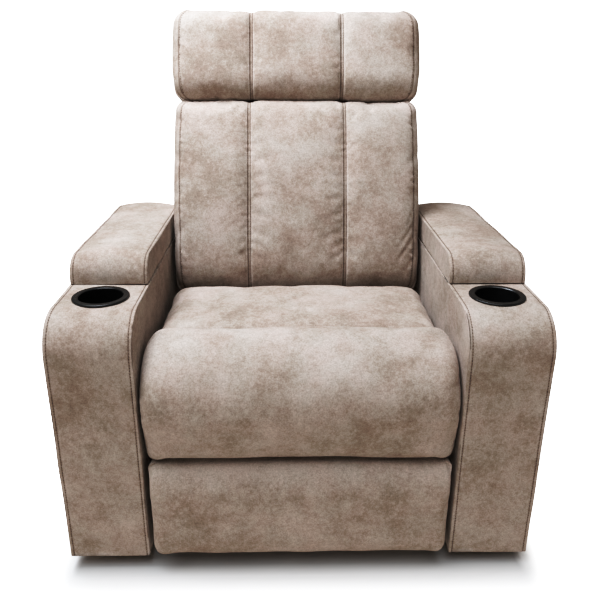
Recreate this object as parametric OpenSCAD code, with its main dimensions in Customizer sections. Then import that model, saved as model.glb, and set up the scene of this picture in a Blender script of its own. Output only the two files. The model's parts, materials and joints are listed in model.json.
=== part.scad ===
// Cinema recliner seat: powered recline and footrest, storage arms with cup holders, tilting headrest.
// Layout axes: x across from the centre line, y back from the arm fronts, z up from the floor.
// The finished part is moved along y, so that its origin lies on the floor in the middle of its depth.

/* [Arms] */
// Clear width between the two arms
seat_gap_w = 604; // [596:1:660]
// Width of one arm
arm_w = 158; // [156:1:190]
// Depth of an arm, front to back
arm_depth = 700; // [700:1:780]
// Height of the arm's deck, which carries cup holder and lid
arm_deck_h = 540; // [520:1:580]
// Height of the arm's lower edge above the floor
floor_gap = 30; // [26:1:40]
// Radius between the arm's front face and its deck
arm_front_r = 75; // [50:1:79]
// Radius of the arm's long edges
arm_edge_r = 9; // [4:1:14]
// Thickness of foam and cover on the arm frame
foam_t = 20; // [14:1:21]
// Thickness of the arm frame's boards
panel_t = 12; // [9:1:13]
// Radius of a foot
foot_r = 22; // [16:1:30]
// Radius of the threaded stem of a foot
foot_stem_r = 5; // [4:0.5:8]

/* [Arm lids] */
// Gap between the cup holder's ring and the lid
cup_lid_gap = 14; // [6:1:40]
// Distance from the lid's rear to the arm's rear
lid_rear_gap = 30; // [26:1:60]
// Height of the lid's top above the deck
lid_h = 60; // [56:1:80]
// Distance from the arm's side faces to the lid's side faces
lid_inset = 2; // [1:0.5:6]
// Radius of the lid's front edge
lid_front_r = 48; // [20:1:50]
// Radius of the lid's rear edge
lid_rear_r = 26; // [10:1:40]
// Radius of the lid's long edges
lid_side_r = 13; // [6:1:20]
// Rise of the lid's top in its middle
lid_crown = 5; // [0:1:10]
// Thickness of the lid's board
lid_board_t = 10; // [6:1:12]
// Distance from the lid's edge to its board
lid_board_inset = 9; // [6:1:20]
// Thickness of a hinge leaf
leaf_t = 1.6; // [1.2:0.1:2.4]
// Length of the leaf under the lid's board
lid_leaf_len = 31; // [24:1:36]
// Radius of the hinge barrel
barrel_r = 4; // [3:0.1:5]
// Radius of the hinge pin
barrel_pin_r = 1.8; // [1:0.1:2]
// Width of a lid hinge
lid_hinge_w = 96; // [60:1:110]
// Radius of a lid bumper
bumper_r = 5; // [3:0.5:8]

/* [Cup holders] */
// Distance of the cup holder's centre from the arm's front
cup_y = 124; // [120:1:130]
// Radius of the cup holder's ring
cup_ring_r = 54; // [48:1:56]
// Radius of the cup's bore
cup_r = 42; // [36:1:43]
// Wall of the cup
cup_wall = 2.5; // [2:0.1:3]
// Depth of the cup below the deck
cup_depth = 75; // [50:1:110]
// Height of the ring above the deck
cup_proud = 4; // [3:0.5:8]

/* [Storage] */
// Distance from the lid's front to the storage bin
bin_front_gap = 66; // [62:1:110]
// Distance from the storage bin to the lid's rear
bin_rear_gap = 44; // [44:1:90]
// Depth of the storage bin below the deck
bin_depth = 150; // [100:1:200]
// Wall of the storage bin
bin_wall = 2; // [1.5:0.5:3]
// Width of the bin's rim on the deck
bin_rim = 6; // [4:1:8]
// Corner radius of the bin and of the lid's board
bin_corner_r = 12; // [6:1:20]

/* [Switch] */
// Distance of the switch's centre from the arm's front
switch_y = 212; // [210:1:214]
// Distance of the switch's centre below the arm's deck
switch_drop = 78; // [70:1:110]
// Side of the square switch plate
switch_plate = 46; // [44:1:50]
// Corner radius of the switch plate
switch_corner_r = 8; // [4:1:12]
// Thickness of the switch plate on the cover
switch_plate_t = 1; // [0.8:0.1:2]
// Lip of the switch plate on the cover
switch_lip = 4; // [3:0.5:5]
// Radius of a push button
button_r = 7; // [5:0.5:8]
// Spacing of the push buttons
button_pitch = 20; // [18:0.5:21]
// Travel of a push button
button_travel = 1.5; // [1:0.1:2]
// Height of a button's cap above the plate
button_proud = 1.6; // [1.6:0.1:3]

/* [Footrest panel] */
// Distance of the panel's front from the arm's front
panel_y = 5; // [3:1:10]
// Thickness of the panel with its pad
panel_pad_t = 57; // [50:1:57]
// Height of the panel's lower edge
panel_low_z = 36; // [34:1:50]
// Height of the panel's upper edge
panel_high_z = 243; // [230:1:244]
// Width of the panel
panel_w = 582; // [540:1:592]
// Thickness of the footrest board
foot_board_t = 12; // [9:1:18]
// Corner radius of the panel
panel_corner_r = 18; // [8:1:30]
// Distance from the panel's edge to its board
foot_board_inset = 13; // [10:1:20]
// Corner radius of the boards in panel and headrest
board_corner_r = 13; // [8:1:16]

/* [Front roll] */
// How far the roll stands in front of the arms
roll_proud = 12; // [4:1:20]
// Depth of the roll
roll_t = 140; // [130:1:140]
// Height of the roll's lower edge
roll_low_z = 247; // [247:1:252]
// Height of the roll's upper edge
roll_high_z = 485; // [470:1:500]
// Width of the roll
roll_w = 590; // [560:1:592]

/* [Seat] */
// Gap between roll and seat cushion
roll_gap = 0.8; // [0.4:0.1:1]
// Distance of the seat cushion's rear end from the arm's front
seat_rear_y = 434; // [420:1:434]
// Height of the seat cushion's upper face at its edge
seat_top_z = 450; // [440:1:460]
// Rise of the seat cushion in its middle
seat_crown = 15; // [5:1:20]
// Width of the seat cushion
seat_w = 584; // [560:1:590]
// Height of the underside of the seat frame
rail_low_z = 285; // [285:1:290]
// Height of the seat frame's rails
rail_h = 40; // [36:1:42]
// Width of the seat frame's side rails
rail_w = 40; // [30:1:50]
// Thickness of the cross rails, front to back
cross_rail_t = 30; // [24:1:36]
// Thickness of the spring wire
wire_t = 3.5; // [3:0.1:4]
// Swing of a spring's wire to each side
wire_swing = 22; // [14:1:26]

/* [Back] */
// Distance of the back's foot from the arm's front, on its front face
back_y = 442.5; // [442.5:0.5:446]
// Lean of the back from the vertical, in degrees
back_tilt = 20; // [18:0.5:20]
// Length of the back cushion above the seat
back_len = 439.6; // [420:0.1:450]
// Length of the back cushion below the seat's upper face
back_tuck = 22; // [10:1:24]
// Width of the back cushion
back_w = 590; // [580:1:596]
// Thickness of the back cushion
back_pad_t = 165; // [162:1:180]
// Thickness of the rear panel
rear_panel_t = 39.5; // [20:0.5:45]
// How far the rear panel reaches below the seat's upper face
rear_skirt = 72; // [60:1:74]
// Rise of the back cushion in its middle
back_crown = 10; // [4:1:16]
// Distance of the two sewn channels from the centre line
back_seam_x = 114; // [90:1:130]
// Depth from the cushion's front to the back frame
back_frame_v = 118; // [110:1:120]
// Section of the back frame's timber
back_rail = 40; // [30:1:42]

/* [Head] */
// Length of the head cushion
head_len = 221; // [190:1:240]
// Width of the head cushion
head_w = 591; // [580:1:596]
// Thickness of the head cushion
head_pad_t = 135; // [128:1:150]
// Gap between back and head cushions
head_gap = 0.8; // [0.4:0.1:1]
// Radius of the head cushion's lower front edge, on which it tilts
head_pivot_r = 28; // [24:1:32]
// Distance of the head's two sewn channels from the centre line
head_seam_x = 108.5; // [90:0.5:125]
// Distance of the headrest hinges from the centre line
head_hinge_x = 150; // [130:1:200]
// Thickness of the headrest hinge plates
head_plate_t = 3; // [2:0.5:4]
// Half width of a headrest hinge arm
head_arm_r = 9; // [8:0.5:10]
// Radius of the headrest hinge pin
head_pin_r = 4; // [3:0.5:5]
// Thickness of the headrest board
head_board_t = 18; // [12:1:20]
// Distance from the head cushion's edge to its board
head_board_inset = 22; // [16:1:26]
// Forward tilt of the headrest at its limit, in degrees
head_tilt = 30; // [10:1:30]

/* [Steel] */
// Thickness of links and side plates
link_t = 4; // [3:0.1:4]
// Gap between neighbouring links
link_gap = 0.8; // [0.6:0.1:0.9]
// Distance of the outermost link's outer face from the centre line
link_out_x = 290.8; // [289:0.1:292]
// Half width of the long links
link_r = 12; // [10:0.5:12]
// Width of a link between its eyes, as a share of its width at them
bar_waist = 0.95; // [0.9:0.01:0.97]
// Half width of the swing links
swing_r = 14; // [12:0.5:16]
// Radius of a pivot pin
pin_r = 5; // [4:0.5:6]
// Radius of the swing pivots' pins
swing_pin_r = 6; // [5:0.5:7]
// Running clearance of a pin in its eye
pin_clear = 0.05; // [0.03:0.01:0.08]

/* [Footrest linkage] */
// Main pivot of the footrest linkage on the seat plate, as distance and height
main_pivot = [150, 222];
// Guide pivot, on which the drive tube turns
guide_pivot = [178.6, 247];
// Length of the main link
main_len = 177.8; // [176:0.1:180]
// Angle of the closed main link below the forward direction, in degrees
main_angle = 122.1; // [120:0.1:124]
// Length of the reach link from the main link to the panel bracket
reach_len = 188.9; // [187:0.1:190]
// Rise of the closed reach link above the forward direction, in degrees
reach_angle = 30.9; // [30:0.1:32]
// Tail of the reach link, from the main link's pivot
reach_tail = [28.9, 26.6];
// Pivot of the tilt link on the closed main link, from the knee
tilt_offset = [0.4, 27.7];
// Upper pivot of the panel bracket, from its lower pivot
bracket_offset = [10, 33.7];
// Extra radius of the eye at the open pivot of the tilt link
tilt_eye_clear = 1.4; // [1.3:0.1:1.8]
// Shift of that eye from its pin at rest
tilt_eye_shift = [0.17, -1.17];
// Extra radius of the eye at the open pivot of the guide link
guide_eye_clear = 0.6; // [0.5:0.1:0.8]
// Outer radius of the drive tube
drive_tube_r = 9; // [8:0.5:10]
// Wall of the drive tube
drive_tube_wall = 2; // [1.5:0.1:3]

/* [Recline linkage] */
// Length of the swing links between base and seat
swing_len = 140; // [139:0.5:141]
// Backward lean of the swing links at rest, in degrees
swing_lean = 18; // [17:0.5:18]
// Upper pivot of the front swing link
front_swing_top = [235, 225];
// Upper pivot of the rear swing link
rear_swing_top = [430, 225];
// Pivot between seat plate and back
back_pivot = [475, 372];
// Pivot of the recline link on the back's hinge plate, from the back's own pivot
recline_offset = [32.1, -31.4];
// Pivot of the recline link on the base
recline_foot = [479.8, 84.5];
// Extra radius of the eye at the recline link's open pivot
recline_eye_clear = 1.5; // [1.4:0.1:2]
// Shift of that eye from its pin at rest
recline_eye_shift = [0.95, -0.84];
// Section of the base's cross tubes
cross_tube = 30; // [25:1:32]
// Wall of the base's cross tubes
cross_tube_wall = 2; // [1.5:0.1:3]
// Height of the cross tubes' underside
cross_tube_z = 45; // [42:1:48]
// Distance of the front cross tube's centre from the arm's front
front_tube_y = 318; // [312:1:330]
// Distance of the rear cross tube's centre from the arm's front
rear_tube_y = 560; // [556:1:566]

/* [Recline drive] */
// Pivot of the drive's housing above the rear cross tube
drive_foot = [560, 100];
// Pivot of the drive's rod under the seat
drive_head = [330, 222];
// Length of the drive's housing from its pivot
drive_housing_len = 172; // [168:1:176]
// Radius of the drive's guide tube
drive_guide_r = 17; // [15:0.5:19]
// Radius of the drive's rod
drive_rod_r = 9; // [8:0.5:10]
// Radius of the drive's motor
drive_motor_r = 20; // [17:0.5:22]
// Drop of the slot that takes up the drive's swing
drive_slot = 6.5; // [6.2:0.1:7.5]
// Extra radius of that slot
drive_slot_clear = 1.8; // [1.6:0.1:2.2]

/* [Footrest drive] */
// Distance of the footrest gear motor from the centre line
gear_x = 110; // [90:1:130]
// Width of its gear case
gear_w = 56; // [44:1:64]
// Radius of its gear case round the drive tube
gear_case_r = 28; // [24:1:32]
// Length of its motor
gear_motor_len = 110; // [90:1:120]
// Radius of its motor
gear_motor_r = 22; // [18:0.5:24]

/* [Power supply] */
// Length, width and height of the power supply
supply_size = [150, 90, 36];
// Distance of the power supply's centre from the centre line
supply_x = -150; // [-170:1:-130]
// Corner radius of the power supply
supply_corner_r = 8; // [4:1:12]
// Width, depth and height of its inlet
supply_inlet = [28, 16, 20];
// Width and depth of its vents
supply_vent = [5, 30];

/* [Hidden] */
$fn = 64;
// One overrun for every cut that has to pass through a face
cut = 3;
// Fit of a fixed piece in its pocket
seat_fit = 0.3;
inner_x = seat_gap_w / 2;
arm_mid_x = inner_x + arm_w / 2;
back_depth = back_pad_t + seat_fit + rear_panel_t;
head_depth = head_pad_t + seat_fit + rear_panel_t;
head_top_w = back_len + head_gap + head_len;
depth_rear = back_y + head_top_w * sin(back_tilt) + head_depth * cos(back_tilt);
depth_mid = (depth_rear - roll_proud) / 2;
deck_clear = 0.6;
lid_gap = deck_clear + leaf_t;
lid_front_y = cup_y + cup_ring_r + cup_lid_gap;
lid_rear_y = arm_depth - lid_rear_gap;
lid_len = lid_rear_y - lid_front_y;
bin_front_y = lid_front_y + bin_front_gap;
bin_len = lid_rear_y - bin_rear_gap - bin_front_y;
switch_z = arm_deck_h - switch_drop;
barrel_y = lid_rear_y + barrel_r + 2 * deck_clear;
barrel_z = arm_deck_h + deck_clear + barrel_r;
frame_w = arm_w - 2 * foam_t;
bin_w = frame_w - 2 * panel_t - 2 * seat_fit;
bumper_h = lid_gap - seat_fit;

// Colours of the finishes
fabric = "#a48d77";
timber = "#c8a878";
steel = "#6f7276";
black = "#1d1d1f";
plated = "#b9bcbf";

// Faces of the link layers, counted inward from the outermost
function layer_in(k) = link_out_x - k * (link_t + link_gap) - link_t;
function layer_out(k) = link_out_x - k * (link_t + link_gap);
recline_layer = 0;
base_layer = 1;
swing_layer = 2;
seat_layer = 3;
tilt_layer = 4;
main_layer = 5;
reach_layer = 6;
guide_layer = 7;

// Direction at an angle above the forward direction, as depth and height
function forward(a) = [-cos(a), sin(a)];
knee = main_pivot + main_len * forward(-main_angle);
panel_pivot = knee + reach_len * forward(reach_angle);
tail_pivot = knee + reach_tail;
tilt_pivot = knee + tilt_offset;
bracket_pivot = panel_pivot + bracket_offset;
swing_drop = swing_len * [sin(swing_lean), cos(swing_lean)];
front_swing_foot = front_swing_top - swing_drop;
rear_swing_foot = rear_swing_top - swing_drop;
recline_eye = back_pivot + recline_offset;

// A layout point in the leaning frame of the back: depth from its front face, and height along it
function on_back(p) = [
    (p[0] - back_y) * cos(back_tilt) - (p[1] - seat_top_z) * sin(back_tilt),
    (p[0] - back_y) * sin(back_tilt) + (p[1] - seat_top_z) * cos(back_tilt)
];
back_hinge = on_back(back_pivot);
back_eye = on_back(recline_eye);
head_hinge = [head_pivot_r, back_len + head_gap + head_pivot_r];

module placed() { translate([0, -depth_mid, 0]) children(); }

module both_sides() {
    children();
    mirror([1, 0, 0]) children();
}

// A left piece is drawn on the side of positive x
module on_side(side) { mirror([side < 0 ? 1 : 0, 0, 0]) children(); }

// Extrudes an outline in depth and height along x
module along_x(x, t) { translate([x, 0, 0]) rotate([90, 0, 90]) linear_extrude(t) children(); }

module leaning() { translate([0, back_y, seat_top_z]) rotate([-back_tilt, 0, 0]) children(); }

module pin(p, x, len, r) { translate([x, p[0], p[1]]) rotate([0, 90, 0]) cylinder(h = len, r = r); }

// Outline of a straight bar with round ends, a little narrower between them
module bar(p, q, r) {
    run = q - p;
    w = 2 * r * bar_waist;
    translate(p) circle(r);
    translate(q) circle(r);
    translate(p) rotate(atan2(run[1], run[0])) translate([0, -w / 2]) square([norm(run), w]);
}

module eye(p, r) { translate(p) circle(r); }

module round_rect(w, h, r) {
    square([w - 2 * r, h], center = true);
    square([w, h - 2 * r], center = true);
    for (sx = [-1, 1], sy = [-1, 1]) translate([sx * (w / 2 - r), sy * (h / 2 - r)]) circle(r);
}

// A stuffed form. It lies in x and y, its face looks along z, and its flat rear is at z = -thick.
// An edge is [reach, drop]: how far it rounds into the face, and how far it falls from it.
// A corner is its radius at the low and at the high end. A seam is the half width and depth of a channel.
edge_shares = [0, 0.07, 0.3, 0.62, 1];
function clamp01(v) = min(1, max(0, v));
function corner_inset(d, r) = d >= r ? 0 : r - sqrt(max(0, r * r - (r - d) * (r - d)));
function pillow_half(hw, y, y0, y1, r) = hw - corner_inset(y - y0, r[0]) - corner_inset(y1 - y, r[1]);
function edge_drop(e, g, side, end) =
    let (s = e * e + g * g)
    s == 0 ? 0 : (side * e * e + end * g * g) / s * (1 - sqrt(1 - min(1, s)));
function channels(x, seams, seam) =
    len(seams) == 0 ? 0 : seam[1] * max([for (s = seams) exp(-pow((abs(x) - s) / seam[0], 2))]);

module pillow(hw, y0, y1, corner, side, low, high, thick, crown, rows, xs, seams = [], seam = [], waist = 0) {
    mid = (y0 + y1) / 2;
    half = (y1 - y0) / 2;
    ys = concat(
        [for (s = edge_shares) y0 + s * low[0]],
        [for (i = [1:rows]) y0 + low[0] + (y1 - high[0] - y0 - low[0]) * i / (rows + 1)],
        [for (i = [len(edge_shares) - 1:-1:0]) y1 - edge_shares[i] * high[0]]);
    ne = len(edge_shares);
    nx = 2 * ne + len(xs);
    ny = len(ys);
    function col_x(i, h) =
        i < ne ? -h + edge_shares[i] * side[0] :
        i >= nx - ne ? h - edge_shares[nx - 1 - i] * side[0] :
        xs[i - ne];
    face = [for (j = [0:ny - 1]) let (h = pillow_half(hw, ys[j], y0, y1, corner)) [for (i = [0:nx - 1])
        let (
            x = col_x(i, h),
            e = clamp01(1 - (h - abs(x)) / side[0]),
            gl = clamp01(1 - (ys[j] - y0) / low[0]),
            gh = clamp01(1 - (y1 - ys[j]) / high[0]),
            g = max(gl, gh),
            end = gl > gh ? low[1] : high[1],
            t = (ys[j] - mid) / half,
            u = x / hw,
            swell = (1 - u * u) * (1 - pow(t, 4)),
            fold = channels(x, seams, seam) * (1 - g) * (1 - e)
        )
        [x, ys[j], crown * swell - edge_drop(e, g, side[1], end) - fold]]];
    rim = concat(
        [for (i = [0:nx - 1]) [0, i]],
        [for (j = [1:ny - 1]) [j, nx - 1]],
        [for (i = [nx - 2:-1:0]) [ny - 1, i]],
        [for (j = [ny - 2:-1:1]) [j, 0]]);
    n = len(rim);
    edge = [for (k = rim) face[k[0]][k[1]]];
    belt = [for (p = edge)
        [p[0] * (1 - waist / hw), mid + (p[1] - mid) * (1 - waist / half), (p[2] - thick) / 2]];
    foot = [for (p = edge) [p[0], p[1], -thick]];
    points = concat([for (row = face) each row], belt, foot, [[0, mid, -thick]]);
    b0 = nx * ny;
    f0 = b0 + n;
    hub = f0 + n;
    top = [for (j = [0:ny - 2], i = [0:nx - 2]) let (a = j * nx + i)
        each [[a, a + nx, a + 1], [a + 1, a + nx, a + nx + 1]]];
    wall = [for (k = [0:n - 1])
        let (m = (k + 1) % n, a = rim[k][0] * nx + rim[k][1], b = rim[m][0] * nx + rim[m][1])
        each [[a, b, b0 + k], [b, b0 + m, b0 + k], [b0 + k, b0 + m, f0 + k], [b0 + m, f0 + m, f0 + k]]];
    base = [for (k = [0:n - 1]) [f0 + k, f0 + (k + 1) % n, hub]];
    polyhedron(points = points, faces = concat(top, wall, base), convexity = 6);
}

// Columns of a stuffed form between its edges, close together at each sewn channel
function columns(half, seams, seam, shares) =
    len(seams) == 0 ? [for (s = shares) s * half] :
    let (s = seams[0], w = seam[0])
    [-(half + s) / 2, -s - 1.4 * w, -s - 0.6 * w, -s, -s + 0.6 * w, -s + 1.4 * w, -s / 2, 0,
        s / 2, s - 1.4 * w, s - 0.6 * w, s, s + 0.6 * w, s + 1.4 * w, (half + s) / 2];
column_shares = [-0.74, -0.48, -0.2, 0.2, 0.48, 0.74];

// Arm

module arm_profile(inset, low) {
    high = arm_deck_h - inset;
    translate([arm_front_r, low]) square([arm_depth - inset - arm_front_r, high - low]);
    translate([inset, low]) square([arm_front_r, arm_deck_h - arm_front_r - low]);
    translate([arm_front_r, arm_deck_h - arm_front_r]) circle(arm_front_r - inset);
}

module cup_cut(r) {
    translate([arm_mid_x, cup_y, arm_deck_h - cup_depth - cut]) cylinder(h = cup_depth + 2 * cut, r = r);
}

module bin_cut(gap) {
    translate([arm_mid_x, bin_front_y + bin_len / 2, arm_deck_h - bin_depth - gap])
        linear_extrude(bin_depth + gap + cut) round_rect(bin_w + 2 * gap, bin_len + 2 * gap, bin_corner_r);
}

module switch_cut(gap) {
    along_x(inner_x + arm_w - foam_t - panel_t - cut, foam_t + panel_t + 2 * cut)
        translate([switch_y, switch_z]) square(switch_body + 2 * gap, center = true);
}
switch_body = switch_plate - 2 * switch_lip;

module arm_cover(side) {
    color(fabric) placed() on_side(side) difference() {
        intersection() {
            along_x(inner_x, arm_w) arm_profile(0, floor_gap);
            translate([arm_mid_x, arm_depth + cut, (floor_gap + arm_deck_h) / 2]) rotate([90, 0, 0])
                linear_extrude(arm_depth + 2 * cut) round_rect(arm_w, arm_deck_h - floor_gap, arm_edge_r);
            translate([arm_mid_x, arm_depth / 2, 0])
                linear_extrude(arm_deck_h + cut) round_rect(arm_w, arm_depth, arm_edge_r);
        }
        along_x(inner_x + foam_t, frame_w) arm_profile(foam_t, floor_gap - cut);
        cup_cut(cup_r + cup_wall + seat_fit);
        bin_cut(seat_fit);
        if (side < 0) switch_cut(seat_fit);
    }
}

module arm_frame(side) {
    color(timber) placed() on_side(side) difference() {
        along_x(inner_x + foam_t, frame_w) arm_profile(foam_t, floor_gap);
        along_x(inner_x + foam_t + panel_t, frame_w - 2 * panel_t)
            arm_profile(foam_t + panel_t, floor_gap + panel_t);
        cup_cut(cup_r + cup_wall + seat_fit);
        bin_cut(seat_fit);
        if (side < 0) switch_cut(seat_fit);
        for (y = foot_ys) translate([arm_mid_x, y, 0])
            cylinder(h = floor_gap + panel_t + cut, r = foot_stem_r + pin_clear);
    }
}
foot_ys = [foam_t + panel_t + foot_r, arm_depth - foam_t - panel_t - foot_r];

module feet() {
    stem_h = floor_gap + panel_t;
    color(black) placed() both_sides() for (y = foot_ys) translate([arm_mid_x, y, 0]) {
        cylinder(h = floor_gap / 2, r = foot_r);
        translate([0, 0, floor_gap / 2]) cylinder(h = floor_gap / 2, r1 = foot_r, r2 = foot_r / 2);
        cylinder(h = stem_h, r = foot_stem_r);
    }
}

module cup_holder(side) {
    color(black) placed() on_side(side) translate([arm_mid_x, cup_y, arm_deck_h]) difference() {
        union() {
            translate([0, 0, -cup_depth]) cylinder(h = cup_depth, r = cup_r + cup_wall);
            cylinder(h = cup_proud / 2, r = cup_ring_r);
            translate([0, 0, cup_proud / 2]) cylinder(h = cup_proud / 2, r = cup_ring_r - cup_proud / 2);
            rotate_extrude() translate([cup_ring_r - cup_proud / 2, cup_proud / 2]) circle(cup_proud / 2);
        }
        translate([0, 0, -cup_depth + cup_wall]) cylinder(h = cup_depth + cup_proud + cut, r = cup_r);
        rotate_extrude() translate([cup_r, cup_proud]) rotate(45) square(cup_proud / 2, center = true);
    }
}

module storage_bin(side) {
    mid_y = bin_front_y + bin_len / 2;
    color(black) placed() on_side(side) translate([arm_mid_x, mid_y, arm_deck_h]) difference() {
        union() {
            translate([0, 0, -bin_depth]) linear_extrude(bin_depth) round_rect(bin_w, bin_len, bin_corner_r);
            linear_extrude(bin_wall - seat_fit)
                round_rect(bin_w + 2 * bin_rim, bin_len + 2 * bin_rim, bin_corner_r + bin_rim);
        }
        translate([0, 0, bin_wall - bin_depth]) linear_extrude(bin_depth + cut)
            round_rect(bin_w - 2 * bin_wall, bin_len - 2 * bin_wall, bin_corner_r - bin_wall);
    }
}

// Arm lids

module lid_board_solid(gap) {
    w = arm_w - 2 * lid_inset - 2 * lid_board_inset + 2 * gap;
    l = lid_len - 2 * lid_board_inset + 2 * gap;
    translate([arm_mid_x, lid_front_y + lid_len / 2, arm_deck_h + lid_gap - (gap > 0 ? cut : 0)])
        linear_extrude(lid_board_t + (gap > 0 ? gap + cut : 0)) round_rect(w, l, bin_corner_r);
}

module lid_board(side) { color(timber) placed() on_side(side) lid_board_solid(0); }

module lid_pad(side) {
    half = arm_w / 2 - lid_inset;
    color(fabric) placed() on_side(side) difference() {
        translate([arm_mid_x, 0, arm_deck_h + lid_h - lid_crown])
            pillow(half, lid_front_y, lid_rear_y, [lid_side_r, lid_side_r], [lid_side_r, lid_side_r],
                [lid_front_r, lid_front_r], [lid_rear_r, lid_rear_r], lid_h - lid_crown - lid_gap, lid_crown,
                6, columns(half, [], [], lid_shares), waist = deck_clear);
        lid_board_solid(seat_fit);
    }
}
lid_shares = [-0.55, 0, 0.55];

// The outer two thirds of the lid hinge's knuckles stay, and the middle third turns
module hinge_knuckle(x0, w) { pin([barrel_y, barrel_z], x0, w, barrel_r); }

module lid_hinge_fixed() {
    third = lid_hinge_w / 3;
    x0 = arm_mid_x - lid_hinge_w / 2;
    leaf_y = barrel_y + barrel_r + deck_clear;
    translate([x0, leaf_y, arm_deck_h]) cube([lid_hinge_w, arm_depth - arm_edge_r - leaf_y, leaf_t]);
    for (x = [x0, x0 + 2 * third + seat_fit]) {
        hinge_knuckle(x, third - seat_fit);
        translate([x, barrel_y, arm_deck_h + deck_clear])
            cube([third - seat_fit, leaf_y - barrel_y + cut, leaf_t - deck_clear]);
    }
    pin([barrel_y, barrel_z], x0, lid_hinge_w, barrel_pin_r);
}

module lid_hinges() { color(plated) placed() both_sides() lid_hinge_fixed(); }

module lid_leaf(side) {
    third = lid_hinge_w / 3;
    x0 = arm_mid_x - lid_hinge_w / 2;
    leaf_y = barrel_y - barrel_r - deck_clear;
    color(plated) placed() on_side(side) difference() {
        union() {
            translate([x0, leaf_y - lid_leaf_len, arm_deck_h + deck_clear])
                cube([lid_hinge_w, lid_leaf_len, leaf_t]);
            translate([x0 + third + seat_fit, leaf_y - cut, arm_deck_h + deck_clear])
                cube([third - 2 * seat_fit, barrel_y - leaf_y + cut, leaf_t]);
            hinge_knuckle(x0 + third + seat_fit, third - 2 * seat_fit);
        }
        pin([barrel_y, barrel_z], x0, lid_hinge_w, barrel_pin_r + pin_clear);
    }
}

module lid_bumpers() {
    color(black) placed() both_sides() for (sx = [-1, 1])
        translate([arm_mid_x + sx * (arm_w / 2 - lid_inset - lid_board_inset - bumper_r),
            lid_front_y + lid_board_inset + bumper_r, arm_deck_h]) cylinder(h = bumper_h, r = bumper_r);
}

// Switch on the outer face of the right arm

button_places = [[-1, 1], [1, 1], [-1, -1], [1, -1]];
switch_face_x = inner_x + arm_w;
button_len = button_proud + foam_t / 2;

module button_solid(place, gap, extra) {
    x = switch_face_x + switch_plate_t + button_proud - button_len - extra;
    len = button_len + extra + (gap > 0 ? cut : 0);
    pin([switch_y, switch_z] + place * button_pitch / 2, x, len, button_r + gap);
}

module switch_plate_node() {
    color(black) placed() on_side(-1) difference() {
        union() {
            along_x(switch_face_x, switch_plate_t)
                translate([switch_y, switch_z]) round_rect(switch_plate, switch_plate, switch_corner_r);
            along_x(switch_face_x - foam_t - panel_t / 2, foam_t + panel_t / 2)
                translate([switch_y, switch_z]) square(switch_body, center = true);
        }
        for (place = button_places) button_solid(place, 2 * pin_clear, button_travel + seat_fit);
    }
}

module button(place) { color(plated) placed() on_side(-1) button_solid(place, 0, 0); }

// Base

base_plate_rear = rear_tube_y + cross_tube;
base_plate_front = front_swing_foot[0] - 2 * swing_r;

module base_side_plates() {
    top = front_swing_foot[1] + swing_r + cut;
    color(steel) placed() both_sides() along_x(layer_in(base_layer), link_t) difference() {
        union() {
            translate([base_plate_front, cross_tube_z])
                square([base_plate_rear - base_plate_front, top - cross_tube_z - swing_r]);
            for (p = [front_swing_foot, rear_swing_foot, recline_foot])
                translate([p[0], top - swing_r]) circle(swing_r);
            for (p = [front_swing_foot, rear_swing_foot, recline_foot])
                translate([p[0] - swing_r, top - 2 * swing_r]) square([2 * swing_r, swing_r]);
        }
        for (p = [front_swing_foot, rear_swing_foot]) eye(p, swing_pin_r);
        eye(recline_foot, pin_r);
        for (y = [front_tube_y, rear_tube_y])
            translate([y, cross_tube_z + cross_tube / 2]) square(cross_tube + 2 * pin_clear, center = true);
    }
}

module base_cross_tubes() {
    flange = cross_tube * 2;
    mid_z = cross_tube_z + cross_tube / 2;
    color(steel) placed() for (y = [front_tube_y, rear_tube_y]) translate([0, y, mid_z]) {
        rotate([90, 0, 90]) linear_extrude(2 * inner_x - 2 * link_t, center = true) difference() {
            square(cross_tube, center = true);
            square(cross_tube - 2 * cross_tube_wall, center = true);
        }
        both_sides() along_x(inner_x - link_t, link_t) difference() {
            translate([0, cross_tube / 2]) round_rect(flange, flange, link_r / 2);
            for (sy = [-1, 1]) translate([sy * cross_tube * 3 / 4, cross_tube]) circle(foot_stem_r);
        }
    }
}

module base_pivot_pins() {
    color(plated) placed() both_sides() {
        for (p = [front_swing_foot, rear_swing_foot])
            pin(p, layer_in(swing_layer), layer_out(base_layer) - layer_in(swing_layer), swing_pin_r);
        pin(recline_foot, layer_in(base_layer), layer_out(recline_layer) - layer_in(base_layer), pin_r);
    }
}

module swing_links(foot, top) {
    color(steel) placed() both_sides() along_x(layer_in(swing_layer), link_t) difference() {
        bar(foot, top, swing_r);
        eye(foot, swing_pin_r + pin_clear);
        eye(top, swing_pin_r + pin_clear);
    }
}

module recline_links() {
    color(steel) placed() both_sides() along_x(layer_in(recline_layer), link_t) difference() {
        bar(recline_foot, recline_eye + recline_eye_shift, link_r);
        eye(recline_foot, pin_r + pin_clear);
        eye(recline_eye + recline_eye_shift, pin_r + recline_eye_clear);
    }
}

module power_supply() {
    s = supply_size;
    inlet = supply_inlet;
    color(black) placed() translate([supply_x, rear_tube_y, cross_tube_z + cross_tube]) difference() {
        union() {
            linear_extrude(s[2]) round_rect(s[0], s[1], supply_corner_r);
            linear_extrude(link_t) round_rect(s[0] + cross_tube, cross_tube, supply_corner_r / 2);
        }
        translate([-inlet[0] / 2, s[1] / 2 - inlet[1], (s[2] - inlet[2]) / 2])
            cube([inlet[0], inlet[1] + cut, inlet[2]]);
        for (i = [-3:3]) translate([i * s[0] / 9, -s[1] / 4, s[2]])
            cube([supply_vent[0], supply_vent[1], cut], center = true);
    }
}

// Recline drive

drive_lug_x = link_t / 2 + link_gap;
housing_half = link_t / 2 + cross_tube / 2 + link_gap;

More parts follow.
